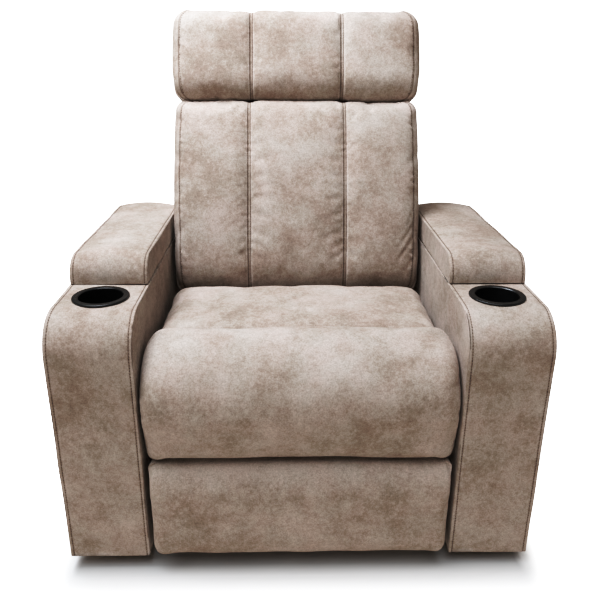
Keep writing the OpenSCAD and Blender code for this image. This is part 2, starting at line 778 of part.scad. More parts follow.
module drive_bracket() {
    z = cross_tube_z + cross_tube;
    color(steel) placed() {
        both_sides() along_x(housing_half, link_t) difference() {
            union() {
                eye(drive_foot, link_r);
                translate([drive_foot[0] - link_r, z]) square([2 * link_r, drive_foot[1] - z]);
            }
            eye(drive_foot, pin_r);
        }
        pin(drive_foot, -housing_half - link_t, 2 * (housing_half + link_t), pin_r);
    }
}

drive_run = drive_head - drive_foot;
drive_tilt = atan2(drive_run[1], -drive_run[0]);
drive_len = norm(drive_run);

// Local z runs along the drive, from the housing's pivot to the rod's pivot
module along_drive() {
    translate([0, drive_foot[0], drive_foot[1]]) rotate([90 - drive_tilt, 0, 0]) children();
}

module recline_drive_housing() {
    head_len = drive_guide_r * 3;
    color(black) placed() along_drive() difference() {
        union() {
            rotate([0, 90, 0]) cylinder(h = 2 * housing_half - 2 * link_gap, r = link_r, center = true);
            cylinder(h = drive_housing_len, r = drive_guide_r);
            translate([0, 0, head_len / 2 + link_r]) linear_extrude(head_len)
                round_rect(2 * housing_half + 2 * drive_guide_r, 2 * drive_guide_r + link_r, switch_corner_r);
            translate([housing_half + drive_motor_r / 2, 0, link_r + head_len])
                cylinder(h = drive_housing_len - head_len - 2 * link_r, r = drive_motor_r);
            translate([0, 0, drive_housing_len - link_r]) cylinder(h = link_r, r = drive_guide_r + link_gap);
        }
        rotate([0, 90, 0]) cylinder(h = 4 * housing_half, r = pin_r + pin_clear, center = true);
        translate([0, 0, 2 * link_r]) cylinder(h = drive_housing_len, r = drive_rod_r + pin_clear);
    }
}

module recline_drive_rod() {
    fork_in = drive_lug_x;
    tail = drive_len - drive_housing_len + 3 * link_r;
    color(plated) placed() along_drive() {
        translate([0, 0, tail]) cylinder(h = drive_len - tail - 2 * link_r, r = drive_rod_r);
        translate([0, 0, drive_len - 2 * link_r - link_t]) rotate([0, 90, 0])
            cylinder(h = 2 * (fork_in + link_t), r = drive_rod_r, center = true);
        both_sides() translate([fork_in, 0, 0]) rotate([0, 90, 0]) linear_extrude(link_t)
            bar([-drive_len, 0], [-drive_len + 2 * link_r, 0], drive_rod_r);
        translate([0, 0, drive_len]) rotate([0, 90, 0])
            cylinder(h = 2 * (fork_in + link_t), r = pin_r, center = true);
    }
}

// Seat

rail_high_z = rail_low_z + rail_h;
rail_out_x = layer_in(seat_layer);
rail_front_y = panel_y + panel_pad_t + cut + link_t;
rail_rear_y = seat_rear_y + link_r / 2;
roll_rear_y = roll_t - roll_proud;
cushion_low_z = rail_high_z + seat_fit;
gear_rail_y = guide_pivot[0] - cross_rail_t / 2;
tube_y = drive_head[0];
tube_z = rail_low_z - drive_guide_r - link_gap;

module seat_frame() {
    color(timber) placed() {
        both_sides() translate([rail_out_x - rail_w, rail_front_y, rail_low_z])
            cube([rail_w, rail_rear_y - rail_front_y, rail_h]);
        for (y = [rail_front_y, gear_rail_y, rail_rear_y - cross_rail_t])
            translate([rail_w - rail_out_x, y, rail_low_z])
                cube([2 * (rail_out_x - rail_w), cross_rail_t, y == gear_rail_y ? rail_h - 3 * wire_t : rail_h]);
    }
}

module seat_side_plates() {
    low = main_pivot[1] - swing_r;
    color(steel) placed() both_sides() along_x(layer_in(seat_layer), link_t) difference() {
        union() {
            bar(main_pivot, guide_pivot, swing_r);
            bar(guide_pivot, front_swing_top, swing_r);
            bar(front_swing_top, rear_swing_top, swing_r);
            bar(rear_swing_top, back_pivot, swing_r);
            bar(main_pivot, front_swing_top, swing_r);
            translate([guide_pivot[0] - link_r, guide_pivot[1]])
                square([rail_rear_y - guide_pivot[0] + link_r, rail_low_z + rail_h / 2 - guide_pivot[1]]);
            translate([front_swing_top[0], front_swing_top[1]])
                square([rear_swing_top[0] - front_swing_top[0], rail_low_z - front_swing_top[1]]);
        }
        for (i = [1:3]) translate([front_swing_top[0] + i * (rear_swing_top[0] - front_swing_top[0]) / 4,
            (rail_low_z + front_swing_top[1]) / 2]) circle(swing_r);
        eye([tube_y, tube_z], drive_guide_r * 2 / 3);
        eye(main_pivot, pin_r);
        eye(guide_pivot, drive_tube_r + pin_clear);
        for (p = [front_swing_top, rear_swing_top]) eye(p, swing_pin_r);
        eye(back_pivot, swing_pin_r);
    }
}

module seat_pivot_pins() {
    color(plated) placed() both_sides() {
        pin(main_pivot, layer_in(main_layer), layer_out(seat_layer) - layer_in(main_layer), pin_r);
        for (p = [front_swing_top, rear_swing_top])
            pin(p, layer_in(seat_layer), layer_out(swing_layer) - layer_in(seat_layer), swing_pin_r);
        pin(back_pivot, layer_in(seat_layer), layer_out(base_layer) - layer_in(seat_layer), swing_pin_r);
    }
}

// Outline of a sinuous spring of a given length along its first axis
spring_pitch = wire_swing;
module zigzag(length) {
    turns = floor(length / spring_pitch);
    steps = turns * 6;
    function mid(i) = wire_swing * sin(i * 60) * min(1, i / 6, (steps - i) / 6);
    polygon(concat(
        [for (i = [0:steps]) [i * length / steps, mid(i) + wire_t]],
        [for (i = [steps:-1:0]) [i * length / steps, mid(i) - wire_t]]));
}

module seat_springs() {
    front = rail_front_y + cross_rail_t;
    rear = rail_rear_y - cross_rail_t;
    span = 2 * (rail_out_x - rail_w);
    color(plated) placed() for (i = [-2:2])
        translate([i * span / 5.5, front, rail_high_z - wire_t])
            linear_extrude(wire_t) rotate(90) zigzag(rear - front);
}

module seat_cushion() {
    half = seat_w / 2;
    front = roll_rear_y + roll_gap;
    color(fabric) placed() translate([0, 0, seat_top_z])
        pillow(half, front, seat_rear_y, [seat_edge[0] / 2, seat_edge[0]], seat_edge, seat_front_edge, seat_edge,
            seat_top_z - cushion_low_z, seat_crown, 4, columns(half, [], [], column_shares), waist = back_waist);
}
// Edges of the seat cushion, as reach and drop
seat_edge = [30, 26];
seat_front_edge = [36, 18];

module front_roll() {
    half = roll_w / 2;
    pocket_y = rail_front_y - seat_fit;
    color(fabric) placed() difference() {
        translate([0, -roll_proud, 0]) rotate([90, 0, 0])
            pillow(half, roll_low_z, roll_high_z, [roll_side[0], roll_side[0]], roll_side, roll_low, roll_high,
                roll_t, 0, 3, columns(half, [], [], column_shares));
        translate([-half - cut, pocket_y, roll_low_z - cut])
            cube([roll_w + 2 * cut, roll_t, cushion_low_z - roll_low_z + cut]);
    }
}
// Edges of the front roll, as reach and drop
roll_side = [24, 22];
roll_low = [62, 24];
roll_high = [108, 112];

module seat_cross_tube() {
    color(steel) placed() {
        difference() {
            pin([tube_y, tube_z], -layer_out(seat_layer), 2 * layer_out(seat_layer), drive_guide_r * 2 / 3);
            pin([tube_y, tube_z], -layer_out(seat_layer) - cut, 2 * layer_out(seat_layer) + 2 * cut,
                drive_guide_r * 2 / 3 - cross_tube_wall);
        }
        along_x(-link_t / 2, link_t) difference() {
            union() {
                bar([tube_y, tube_z - drive_guide_r / 2], drive_head, link_r);
                bar(drive_head, drive_head - [0, drive_slot], link_r);
            }
            bar(drive_head, drive_head - [0, drive_slot], pin_r + drive_slot_clear);
            eye([tube_y, tube_z], drive_guide_r * 2 / 3);
        }
    }
}

// Footrest drive and linkage

module footrest_gear_motor() {
    motor_y = guide_pivot[0] + gear_case_r;
    color(black) placed() difference() {
        union() {
            pin(guide_pivot, gear_x - gear_w / 2, gear_w, gear_case_r);
            translate([gear_x - gear_w / 2, guide_pivot[0] - cross_rail_t / 2, guide_pivot[1]])
                cube([gear_w, cross_rail_t, rail_low_z - guide_pivot[1]]);
            translate([gear_x, motor_y - cut, guide_pivot[1]]) rotate([-90, 0, 0])
                cylinder(h = gear_motor_len, r = gear_motor_r);
            translate([gear_x, motor_y - gear_case_r, guide_pivot[1]]) rotate([-90, 0, 0])
                cylinder(h = gear_case_r + link_r, r = gear_motor_r + link_t);
        }
        pin(guide_pivot, gear_x - gear_w, 2 * gear_w, drive_tube_r + pin_clear);
    }
}

module main_links() {
    color(steel) placed() both_sides() along_x(layer_in(main_layer), link_t) difference() {
        union() {
            bar(main_pivot, knee, link_r);
            bar(main_pivot, tilt_pivot, link_r);
            bar(knee, tilt_pivot, link_r);
        }
        eye(main_pivot, pin_r + pin_clear);
        eye(knee, pin_r);
        eye(tilt_pivot, pin_r);
    }
}

module knee_pins() {
    color(plated) placed() both_sides() {
        pin(knee, layer_in(reach_layer), layer_out(main_layer) - layer_in(reach_layer), pin_r);
        pin(tilt_pivot, layer_in(main_layer), layer_out(tilt_layer) - layer_in(main_layer), pin_r);
    }
}

module reach_links() {
    color(steel) placed() both_sides() {
        along_x(layer_in(reach_layer), link_t) difference() {
            union() {
                bar(knee, panel_pivot, link_r);
                bar(knee, tail_pivot, link_r);
            }
            eye(knee, pin_r + pin_clear);
            eye(panel_pivot, pin_r + pin_clear);
        }
        pin(tail_pivot, layer_in(guide_layer), layer_out(reach_layer) - layer_in(guide_layer), pin_r);
    }
}

module guide_links() {
    color(steel) placed() both_sides() along_x(layer_in(guide_layer), link_t) difference() {
        union() {
            bar(guide_pivot, tail_pivot, link_r);
            eye(guide_pivot, drive_tube_r + link_r / 2);
        }
        eye(guide_pivot, drive_tube_r);
        eye(tail_pivot, pin_r + guide_eye_clear);
    }
}

module drive_tube() {
    color(plated) placed() difference() {
        pin(guide_pivot, -layer_out(seat_layer), 2 * layer_out(seat_layer), drive_tube_r);
        pin(guide_pivot, -layer_out(seat_layer) - cut, 2 * layer_out(seat_layer) + 2 * cut,
            drive_tube_r - drive_tube_wall);
    }
}

module tilt_links() {
    color(steel) placed() both_sides() along_x(layer_in(tilt_layer), link_t) difference() {
        bar(tilt_pivot, bracket_pivot + tilt_eye_shift, link_r - link_gap);
        eye(tilt_pivot, pin_r + pin_clear);
        eye(bracket_pivot + tilt_eye_shift, pin_r + tilt_eye_clear);
    }
}

panel_rear_y = panel_y + panel_pad_t;

module footrest_brackets() {
    flange_z = panel_pivot[1] - 3 * link_r;
    flange_h = bracket_pivot[1] + link_r - flange_z;
    color(steel) placed() both_sides() {
        along_x(layer_in(main_layer), link_t) difference() {
            union() {
                polygon([[panel_rear_y, flange_z], [panel_rear_y, flange_z + flange_h],
                    bracket_pivot + [0, link_r], bracket_pivot + [link_r, 0], panel_pivot + [link_r, 0],
                    panel_pivot - [0, link_r]]);
                eye(panel_pivot, link_r);
                eye(bracket_pivot, link_r);
            }
            eye(panel_pivot, pin_r);
            eye(bracket_pivot, pin_r);
        }
        translate([layer_in(guide_layer) - link_r, panel_rear_y, flange_z])
            cube([layer_in(main_layer) - layer_in(guide_layer) + link_r, link_t, flange_h]);
    }
}

module bracket_pins() {
    color(plated) placed() both_sides() {
        pin(panel_pivot, layer_in(reach_layer), layer_out(main_layer) - layer_in(reach_layer), pin_r);
        pin(bracket_pivot, layer_in(main_layer), layer_out(tilt_layer) - layer_in(main_layer), pin_r);
    }
}

module footrest_board_solid(gap) {
    w = panel_w - 2 * foot_board_inset + 2 * gap;
    h = panel_high_z - panel_low_z - 2 * foot_board_inset + 2 * gap;
    translate([0, panel_rear_y + (gap > 0 ? cut : 0), (panel_low_z + panel_high_z) / 2]) rotate([90, 0, 0])
        linear_extrude(foot_board_t + (gap > 0 ? gap + cut : 0)) round_rect(w, h, board_corner_r);
}

module footrest_board() { color(timber) placed() footrest_board_solid(0); }

module footrest_pad() {
    half = panel_w / 2;
    color(fabric) placed() difference() {
        translate([0, panel_y + panel_crown, 0]) rotate([90, 0, 0])
            pillow(half, panel_low_z, panel_high_z, [panel_corner_r, panel_corner_r / 2], panel_edge, panel_edge,
                panel_edge, panel_pad_t - panel_crown, panel_crown, 3, columns(half, [], [], column_shares));
        footrest_board_solid(seat_fit);
    }
}
// Rise of the panel in its middle, and its edge as reach and drop
panel_crown = 4;
panel_edge = [20, 16];

// Back

back_inner_x = layer_out(base_layer) + seat_fit;
upright_out_x = layer_in(base_layer);
frame_low_w = -back_tuck / 2;
frame_high_w = back_len - link_r;
back_depth_v = back_pad_t + seat_fit;
plate_run = [back_frame_v + back_rail / 2, -back_tuck - 2 * link_r];

module back_frame() {
    h = frame_high_w - frame_low_w;
    color(timber) placed() leaning() {
        both_sides() translate([upright_out_x - back_rail, back_frame_v, frame_low_w])
            cube([back_rail, back_rail, h]);
        for (w = [frame_low_w, (frame_low_w + frame_high_w) / 2, frame_high_w - back_rail])
            translate([back_rail - upright_out_x, back_frame_v + wire_t, w])
                cube([2 * (upright_out_x - back_rail), back_rail - wire_t, back_rail]);
    }
}

module back_springs() {
    span = 2 * (upright_out_x - back_rail);
    rows = 6;
    step = (frame_high_w - frame_low_w) / rows;
    color(plated) placed() leaning() for (i = [0:rows - 1])
        translate([-span / 2, back_frame_v + wire_t, frame_low_w + (i + 0.5) * step]) rotate([90, 0, 0])
            linear_extrude(wire_t) zigzag(span);
}

module back_hinge_plates() {
    rise = back_rail * 3;
    color(steel) placed() leaning() both_sides() {
        along_x(layer_in(base_layer), link_t) difference() {
            union() {
                bar(back_hinge, plate_run, swing_r);
                bar(plate_run, plate_run + [0, rise], swing_r);
                bar(back_hinge, back_eye, swing_r);
                bar(back_eye, plate_run, swing_r);
            }
            eye(back_hinge, swing_pin_r + pin_clear);
        }
        pin(back_eye, layer_out(base_layer), layer_out(recline_layer) - layer_out(base_layer), pin_r);
    }
}

module back_cushion() {
    half = back_w / 2;
    color(fabric) placed() leaning() difference() {
        rotate([90, 0, 0])
            pillow(half, -back_tuck, back_len, back_corner, back_side, back_low, back_high, back_pad_t, back_crown,
                5, columns(half, [back_seam_x], back_seam, []), [back_seam_x], back_seam, waist = back_waist);
        translate([-back_inner_x, back_frame_v - seat_fit, -back_tuck - cut])
            cube([2 * back_inner_x, back_pad_t, frame_high_w + back_tuck + cut + seat_fit]);
        both_sides() {
            arm_slot() bar(lower_from, head_hinge, head_arm_r + deck_clear);
            foot_slot(lower_from, back_frame_v, head_hinge_x);
        }
    }
}
// Corner radii of the back cushion, its edges as reach and drop, its channels, and how far its wall is drawn in
back_corner = [30, 26];
back_side = [24, 18];
back_low = [26, 24];
back_high = [28, 26];
back_seam = [9, 7];
back_waist = 2;

module back_rear_panel() {
    half = back_w / 2;
    color(fabric) placed() leaning() translate([0, back_depth_v + rear_panel_t, 0]) rotate([90, 0, 180])
        pillow(half, -rear_skirt, back_len, rear_corner, rear_edge, rear_edge, rear_edge, rear_panel_t, 0, 3,
            columns(half, [], [], column_shares));
}
// Corner radii of the rear panel, and the edge of both rear panels
rear_corner = [20, 26];
rear_edge = [22, 16];

// Headrest

// One half of a headrest hinge: an arm to the pin, and a foot that is screwed on at depth foot_v
module headrest_plate(from, x, foot_v) {
    along_x(x, head_plate_t) bar(from, head_hinge, head_arm_r);
    translate([x + head_plate_t / 2, foot_v - head_plate_t, from[1]]) rotate([-90, 0, 0])
        linear_extrude(head_plate_t) round_rect(4 * head_arm_r, 4 * head_arm_r, head_arm_r);
}

// Room for both halves of a headrest hinge in the cushions round it
module arm_slot() { along_x(head_hinge_x - deck_clear, 2 * head_plate_t + link_gap + 2 * deck_clear) children(); }
module foot_slot(from, foot_v, x) {
    w = 4 * head_arm_r + 2 * deck_clear;
    translate([x + head_plate_t / 2 - w / 2, foot_v - head_plate_t - deck_clear, from[1] - w / 2])
        cube([w, head_plate_t + deck_clear + cut, w]);
}

// The room that the lower arm sweeps in the head cushion, from rest to the cushion's full tilt
module swept_arm() {
    r = head_arm_r + deck_clear;
    run = lower_from - head_hinge;
    at = atan2(run[1], run[0]);
    reach = norm(run) + 2 * r;
    function around(a, d) = [d * cos(a), d * sin(a)];
    translate(head_hinge) {
        circle(r);
        polygon([
            around(at + 90, r * bar_waist), around(at + asin(r / reach), reach),
            around(at - head_tilt / 2, reach), around(at - head_tilt - asin(r / reach), reach),
            around(at - head_tilt - 90, r * bar_waist)
        ]);
    }
}
lower_from = [back_frame_v - head_arm_r, frame_high_w - back_rail / 2];
head_board_v = head_pad_t - head_board_t;
upper_from = [head_board_v - head_arm_r, head_hinge[1] + 2 * back_rail];

module headrest_hinges_lower() {
    color(plated) placed() leaning() both_sides() {
        headrest_plate(lower_from, head_hinge_x, back_frame_v);
        pin(head_hinge, head_hinge_x, 2 * head_plate_t + link_gap, head_pin_r);
    }
}

module headrest_hinges_upper() {
    x = head_hinge_x + head_plate_t + link_gap;
    color(plated) placed() leaning() both_sides() difference() {
        headrest_plate(upper_from, x, head_board_v);
        pin(head_hinge, x - cut, head_plate_t + 2 * cut, head_pin_r + pin_clear);
    }
}

head_low_w = back_len + head_gap;

module headrest_board_solid(gap) {
    h = head_len - head_pivot_r - head_board_inset + 2 * gap;
    translate([0, head_pad_t + (gap > 0 ? cut : 0), head_low_w + head_pivot_r + h / 2 - gap]) rotate([90, 0, 0])
        linear_extrude(head_board_t + (gap > 0 ? gap + cut : 0))
            round_rect(head_w - 2 * head_board_inset + 2 * gap, h, board_corner_r);
}

module headrest_board() { color(timber) placed() leaning() headrest_board_solid(0); }

module headrest_cushion() {
    half = head_w / 2;
    upper_x = head_hinge_x + head_plate_t + link_gap;
    color(fabric) placed() leaning() difference() {
        rotate([90, 0, 0])
            pillow(half, head_low_w, head_top_w, head_corner, head_side, [head_pivot_r, head_pivot_r], head_high,
                head_pad_t, head_crown, 3, columns(half, [head_seam_x], head_seam, []), [head_seam_x], head_seam,
                waist = back_waist);
        headrest_board_solid(seat_fit);
        both_sides() {
            arm_slot() {
                swept_arm();
                bar(upper_from, head_hinge, head_arm_r + deck_clear);
            }
            foot_slot(upper_from, head_board_v, upper_x);
        }
    }
}
// Corner radii of the head cushion, its edges as reach and drop, its channels and its crown
head_corner = [16, 24];
head_side = [20, 15];
head_high = [26, 25];
head_seam = [9, 6];
head_crown = 8;

module headrest_rear_panel() {
    half = head_w / 2;
    color(fabric) placed() leaning() translate([0, head_pad_t + seat_fit + rear_panel_t, 0]) rotate([90, 0, 180])
        pillow(half, head_low_w, head_top_w, head_corner, rear_edge, rear_edge, rear_edge, rear_panel_t, 0, 2,
            columns(half, [], [], column_shares));
}

arm_cover(1);  // arm_cover_left
arm_cover(-1);  // arm_cover_right
arm_frame(1);  // arm_frame_left
arm_frame(-1);  // arm_frame_right
cup_holder(1);  // cup_holder_left
cup_holder(-1);  // cup_holder_right
storage_bin(1);  // storage_bin_left
storage_bin(-1);  // storage_bin_right
lid_pad(1);  // lid_pad_left
lid_pad(-1);  // lid_pad_right
lid_board(1);  // lid_board_left
lid_board(-1);  // lid_board_right
lid_leaf(1);  // lid_leaf_left
lid_leaf(-1);  // lid_leaf_right
lid_hinges();
lid_bumpers();
feet();
base_side_plates();
base_cross_tubes();
base_pivot_pins();
power_supply();
drive_bracket();
swing_links(front_swing_foot, front_swing_top);  // front_swing_links
swing_links(rear_swing_foot, rear_swing_top);  // rear_swing_links
recline_links();
seat_side_plates();
seat_frame();
seat_springs();
seat_cushion();
front_roll();
seat_cross_tube();
seat_pivot_pins();
footrest_gear_motor();
main_links();
knee_pins();
guide_links();
drive_tube();
reach_links();
tilt_links();
footrest_brackets();
bracket_pins();
footrest_board();
footrest_pad();
recline_drive_housing();
recline_drive_rod();
back_frame();
back_springs();
back_hinge_plates();
back_cushion();
back_rear_panel();
headrest_hinges_lower();
headrest_hinges_upper();
headrest_board();
headrest_cushion();
headrest_rear_panel();
switch_plate_node();  // switch_plate
button(button_places[0]);  // button_recline_up
button(button_places[2]);  // button_recline_down
button(button_places[1]);  // button_foot_up
button(button_places[3]);  // button_foot_down
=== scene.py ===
# %% [markdown]
# # A cinema recliner, dressed over its CAD frame
# The frame below holds every board, link and pin at its real size. This lesson adds what an
# upholsterer and a finisher add: stuffed cushions, sewn covers, stitches, and the finishes of
# steel, plastic and timber. One way would be to model the whole seat by eye. Here the covers
# are built on the frame's own measures, so that each one still fits when the seat moves.

# %% Load the frame
import json
import math

import bmesh
import bpy
import numpy as np
from mathutils import Matrix, Vector
from mathutils.bvhtree import BVHTree


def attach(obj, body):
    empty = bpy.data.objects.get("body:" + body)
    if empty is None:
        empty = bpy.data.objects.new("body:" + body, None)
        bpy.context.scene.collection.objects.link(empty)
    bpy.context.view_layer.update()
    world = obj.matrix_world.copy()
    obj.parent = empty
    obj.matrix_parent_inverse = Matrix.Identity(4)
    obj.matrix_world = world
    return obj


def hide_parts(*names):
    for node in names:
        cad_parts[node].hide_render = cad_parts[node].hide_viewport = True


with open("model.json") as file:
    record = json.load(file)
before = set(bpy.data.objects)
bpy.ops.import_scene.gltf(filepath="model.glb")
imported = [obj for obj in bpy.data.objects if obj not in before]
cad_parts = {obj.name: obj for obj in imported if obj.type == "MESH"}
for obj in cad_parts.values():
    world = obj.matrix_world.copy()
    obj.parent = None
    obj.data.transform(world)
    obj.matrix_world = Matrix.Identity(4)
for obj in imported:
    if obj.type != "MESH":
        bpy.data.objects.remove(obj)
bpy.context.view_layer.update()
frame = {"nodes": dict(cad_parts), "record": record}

# %% [markdown]
# ## Where things lie
# The seat's measures are taken from the front of the arms, while the frame's origin lies under
# the middle of the seat. One helper turns the first into the second. The back leans, so its
# cushions are measured in a leaning frame: depth from the back's face, and height along it.

# %% Places
ARM_FRONT = -0.410485  # the arm fronts in the frame's own Y
SEAT_TOP = 0.45
BACK_LEAN = math.radians(20)
BACK_FOOT = 0.4425  # the back's face at seat height, from the arm fronts
UPRIGHT = Matrix.Rotation(math.radians(90), 4, "X")


def standing(depth):
    """A stuffed form that faces the viewer: its length runs up, its face lies at that depth."""
    return Matrix.Translation((0, ARM_FRONT + depth, 0)) @ UPRIGHT


def lying(height):
    """A stuffed form that faces up."""
    return Matrix.Translation((0, ARM_FRONT, height))


def leaning(depth=0.0, to_rear=False):
    """A stuffed form on the back, at that depth behind its face, turned to the sitter or the rear."""
    lean = Matrix.Translation((0, ARM_FRONT + BACK_FOOT, SEAT_TOP)) @ Matrix.Rotation(-BACK_LEAN, 4, "X")
    turned = Matrix.Rotation(math.pi, 4, "Z") if to_rear else Matrix.Identity(4)
    return lean @ Matrix.Translation((0, depth, 0)) @ turned @ UPRIGHT


print("the back's face starts at", tuple(round(v, 3) for v in leaning().translation))

# %% [markdown]
# ## Camera, floor and light
# The photograph was taken from a little above the arms with a normal lens. Its view was solved
# from the straight edges of the arms, so the camera is set from those numbers. The light comes
# from above, as in a studio with a lit ceiling: tops are pale, and the fronts are lit by what the
# floor throws back. One wide sun does that evenly, and a soft box adds the fall-off.

# %% Camera
LENS_MM, SENSOR_MM = 40.54, 36.0
CAMERA_PLACE = (-0.0297, -1.0884 + ARM_FRONT, 1.0055)
YAW, PITCH, ROLL = (math.radians(a) for a in (1.38, 21.27, 0.3449))
scene = bpy.context.scene
camera_data = bpy.data.cameras.new("camera")
camera_data.lens = LENS_MM
camera_data.sensor_width = SENSOR_MM
camera = bpy.data.objects.new("camera", camera_data)
scene.collection.objects.link(camera)
scene.camera = camera
forward = Vector((math.sin(YAW) * math.cos(PITCH), math.cos(YAW) * math.cos(PITCH), -math.sin(PITCH)))
right = Vector((math.cos(YAW), -math.sin(YAW), 0))
up = right.cross(forward)
right, up = right * math.cos(ROLL) + up * math.sin(ROLL), up * math.cos(ROLL) - right * math.sin(ROLL)
turn = Matrix((right, up, -forward)).transposed().to_4x4()
camera.matrix_world = Matrix.Translation(CAMERA_PLACE) @ turn
print("camera at", CAMERA_PLACE, "with a lens of", LENS_MM, "mm")

# %% [markdown]
# ### Wiring shader nodes
# A finish is a net of small nodes. They could be wired one by one in the editor, but a net in
# code reads better when each helper adds one node, feeds it, and hands back what it puts out.

# %% Helpers for node trees


def feed(tree, node, values):
    """Wires outputs into a node's sockets, and sets plain values. values holds (socket, value) pairs."""
    for label, value in values:
        if hasattr(value, "is_output"):
            tree.links.new(value, node.inputs[label])
        elif value is not None:
            node.inputs[label].default_value = value


def noise(tree, vector, scale, detail=3.0, rough=0.55, distort=0.0):
    node = tree.nodes.new("ShaderNodeTexNoise")
    feed(tree, node, (("Vector", vector), ("Scale", scale), ("Detail", detail), ("Roughness", rough),
                      ("Distortion", distort)))
    return node.outputs["Fac"]


def ramp(tree, value, stops):
    """A ramp from one (place, colour) stop to another."""
    node = tree.nodes.new("ShaderNodeValToRGB")
    for element, (place, color) in zip(node.color_ramp.elements, stops):
        element.position = place
        element.color = (*color, 1)
    feed(tree, node, [("Fac", value)])
    return node.outputs["Color"]


def math_node(tree, how, a, b):
    node = tree.nodes.new("ShaderNodeMath")
    node.operation = how
    feed(tree, node, ((0, a), (1, b)))
    return node.outputs[0]


def vector_math(tree, how, a, b=None):
    node = tree.nodes.new("ShaderNodeVectorMath")
    node.operation = how
    feed(tree, node, ((0, a), (1, b)))
    return node.outputs["Value" if how == "LENGTH" else "Vector"]


def mix_colors(tree, share, a, b, how="MIX"):
    node = tree.nodes.new("ShaderNodeMix")
    node.data_type = "RGBA"
    node.blend_type = how
    feed(tree, node, ((0, share), (6, a), (7, b)))
    return node.outputs[2]


def map_range(tree, value, low, high, to_low=0.0, to_high=1.0, how="LINEAR"):
    node = tree.nodes.new("ShaderNodeMapRange")
    node.interpolation_type = how
    feed(tree, node, (("Value", value), ("From Min", low), ("From Max", high), ("To Min", to_low), ("To Max", to_high)))
    return node.outputs["Result"]


def bump(tree, height, strength, distance, normal=None):
    node = tree.nodes.new("ShaderNodeBump")
    feed(tree, node, (("Height", height), ("Strength", strength), ("Distance", distance), ("Normal", normal)))
    return node.outputs["Normal"]


# %% [markdown]
# ### Pale paper
# The floor is a wide sheet of white paper. A plain white sheet would throw too much light up at
# the covers, so it is white only to look at. Further from the seat it fades into the backdrop, and
# next to the seat its colour and glow fall away into a painted contact shadow.

# %% Floor
FLOOR_SIZE = 14.0
# The painted contact shadow follows the seat's footprint, and it is shorter at the sides than in front.
FOOTPRINT_SHIFT = (0.0, 0.06, 0.0)
FOOTPRINT_HALF = (0.445, 0.345, 0.0)
SIDES_COUNT = (2.0, 1.0, 0.0)  # a step away from a side counts as two
h = FLOOR_SIZE / 2
floor_mesh = bpy.data.meshes.new("floor")
floor_mesh.from_pydata([(-h, -h, 0), (h, -h, 0), (h, h, 0), (-h, h, 0)], [], [(0, 1, 2, 3)])
floor = bpy.data.objects.new("floor", floor_mesh)
scene.collection.objects.link(floor)
paper = bpy.data.materials.new("pale_paper")
paper.use_nodes = True
tree = paper.node_tree
paper_shader = tree.nodes["Principled BSDF"]
in_view = tree.nodes.new("ShaderNodeLightPath").outputs["Is Camera Ray"]
spot = tree.nodes.new("ShaderNodeTexCoord").outputs["Object"]
spot = vector_math(tree, "ABSOLUTE", vector_math(tree, "ADD", spot, FOOTPRINT_SHIFT))
past = vector_math(tree, "MAXIMUM", vector_math(tree, "SUBTRACT", spot, FOOTPRINT_HALF), (0.0, 0.0, 0.0))
away = vector_math(tree, "LENGTH", vector_math(tree, "MULTIPLY", past, SIDES_COUNT))
# Painted contact shadow: to the camera the paper is dark at the footprint and pale 0.1 m beyond it, and its glow starts
# further out.
paper_tone_with_painted_shadow = mix_colors(tree, in_view, (0.8, 0.73, 0.66, 1), map_range(tree, away, -0.06, 0.10, 0.0, 1.6, "SMOOTHSTEP"))
paper_glow = math_node(tree, "MULTIPLY", map_range(tree, away, 0.045, 0.17, 0.0, 2.5, "SMOOTHSTEP"), in_view)
feed(tree, paper_shader, (("Base Color", paper_tone_with_painted_shadow), ("Roughness", 0.9), ("Emission Color", (1.0, 1.0, 1.0, 1)),
                          ("Emission Strength", paper_glow)))
floor_mesh.materials.append(paper)
print("floor of", FLOOR_SIZE, "m")

# %% Lights
world = bpy.data.worlds.new("studio")
world.use_nodes = True
scene.world = world
tree = world.node_tree
fill = tree.nodes["Background"]
backdrop = tree.nodes.new("ShaderNodeBackground")
either = tree.nodes.new("ShaderNodeMixShader")
in_view = tree.nodes.new("ShaderNodeLightPath").outputs["Is Camera Ray"]
feed(tree, fill, (("Color", (1.0, 0.94, 0.86, 1)), ("Strength", 0.24)))
feed(tree, backdrop, (("Color", (1.0, 1.0, 1.0, 1)), ("Strength", 2.5)))
feed(tree, either, ((0, in_view), (1, fill.outputs[0]), (2, backdrop.outputs[0])))
feed(tree, tree.nodes["World Output"], [("Surface", either.outputs[0])])


def add_light(name, kind, place, target, **settings):
    lamp = bpy.data.lights.new(name, kind)
    for label, value in settings.items():
        setattr(lamp, label, value)
    lamp_object = bpy.data.objects.new(name, lamp)
    lamp_object.location = place
    lamp_object.rotation_euler = (Vector(target) - Vector(place)).to_track_quat("-Z", "Y").to_euler()
    scene.collection.objects.link(lamp_object)
    print(name, "shines with", lamp.energy)


add_light("ceiling", "SUN", (-0.8, -1.05, 3.5), (0.0, 0.0, 0.5), energy=1.8, angle=math.radians(50),
          color=(0.95, 0.985, 1.03))
add_light("soft_box", "AREA", (-0.52, -0.12, 1.92), (0.0, 0.1, 0.7), energy=25.0, size=0.7, color=(0.9, 0.975, 1.08))

# %% [markdown]
# A camera's film has a tone curve: it deepens the darks and lifts the lights. That makes the
# covers' shaded sides browner and their tops paler, as in the photograph.

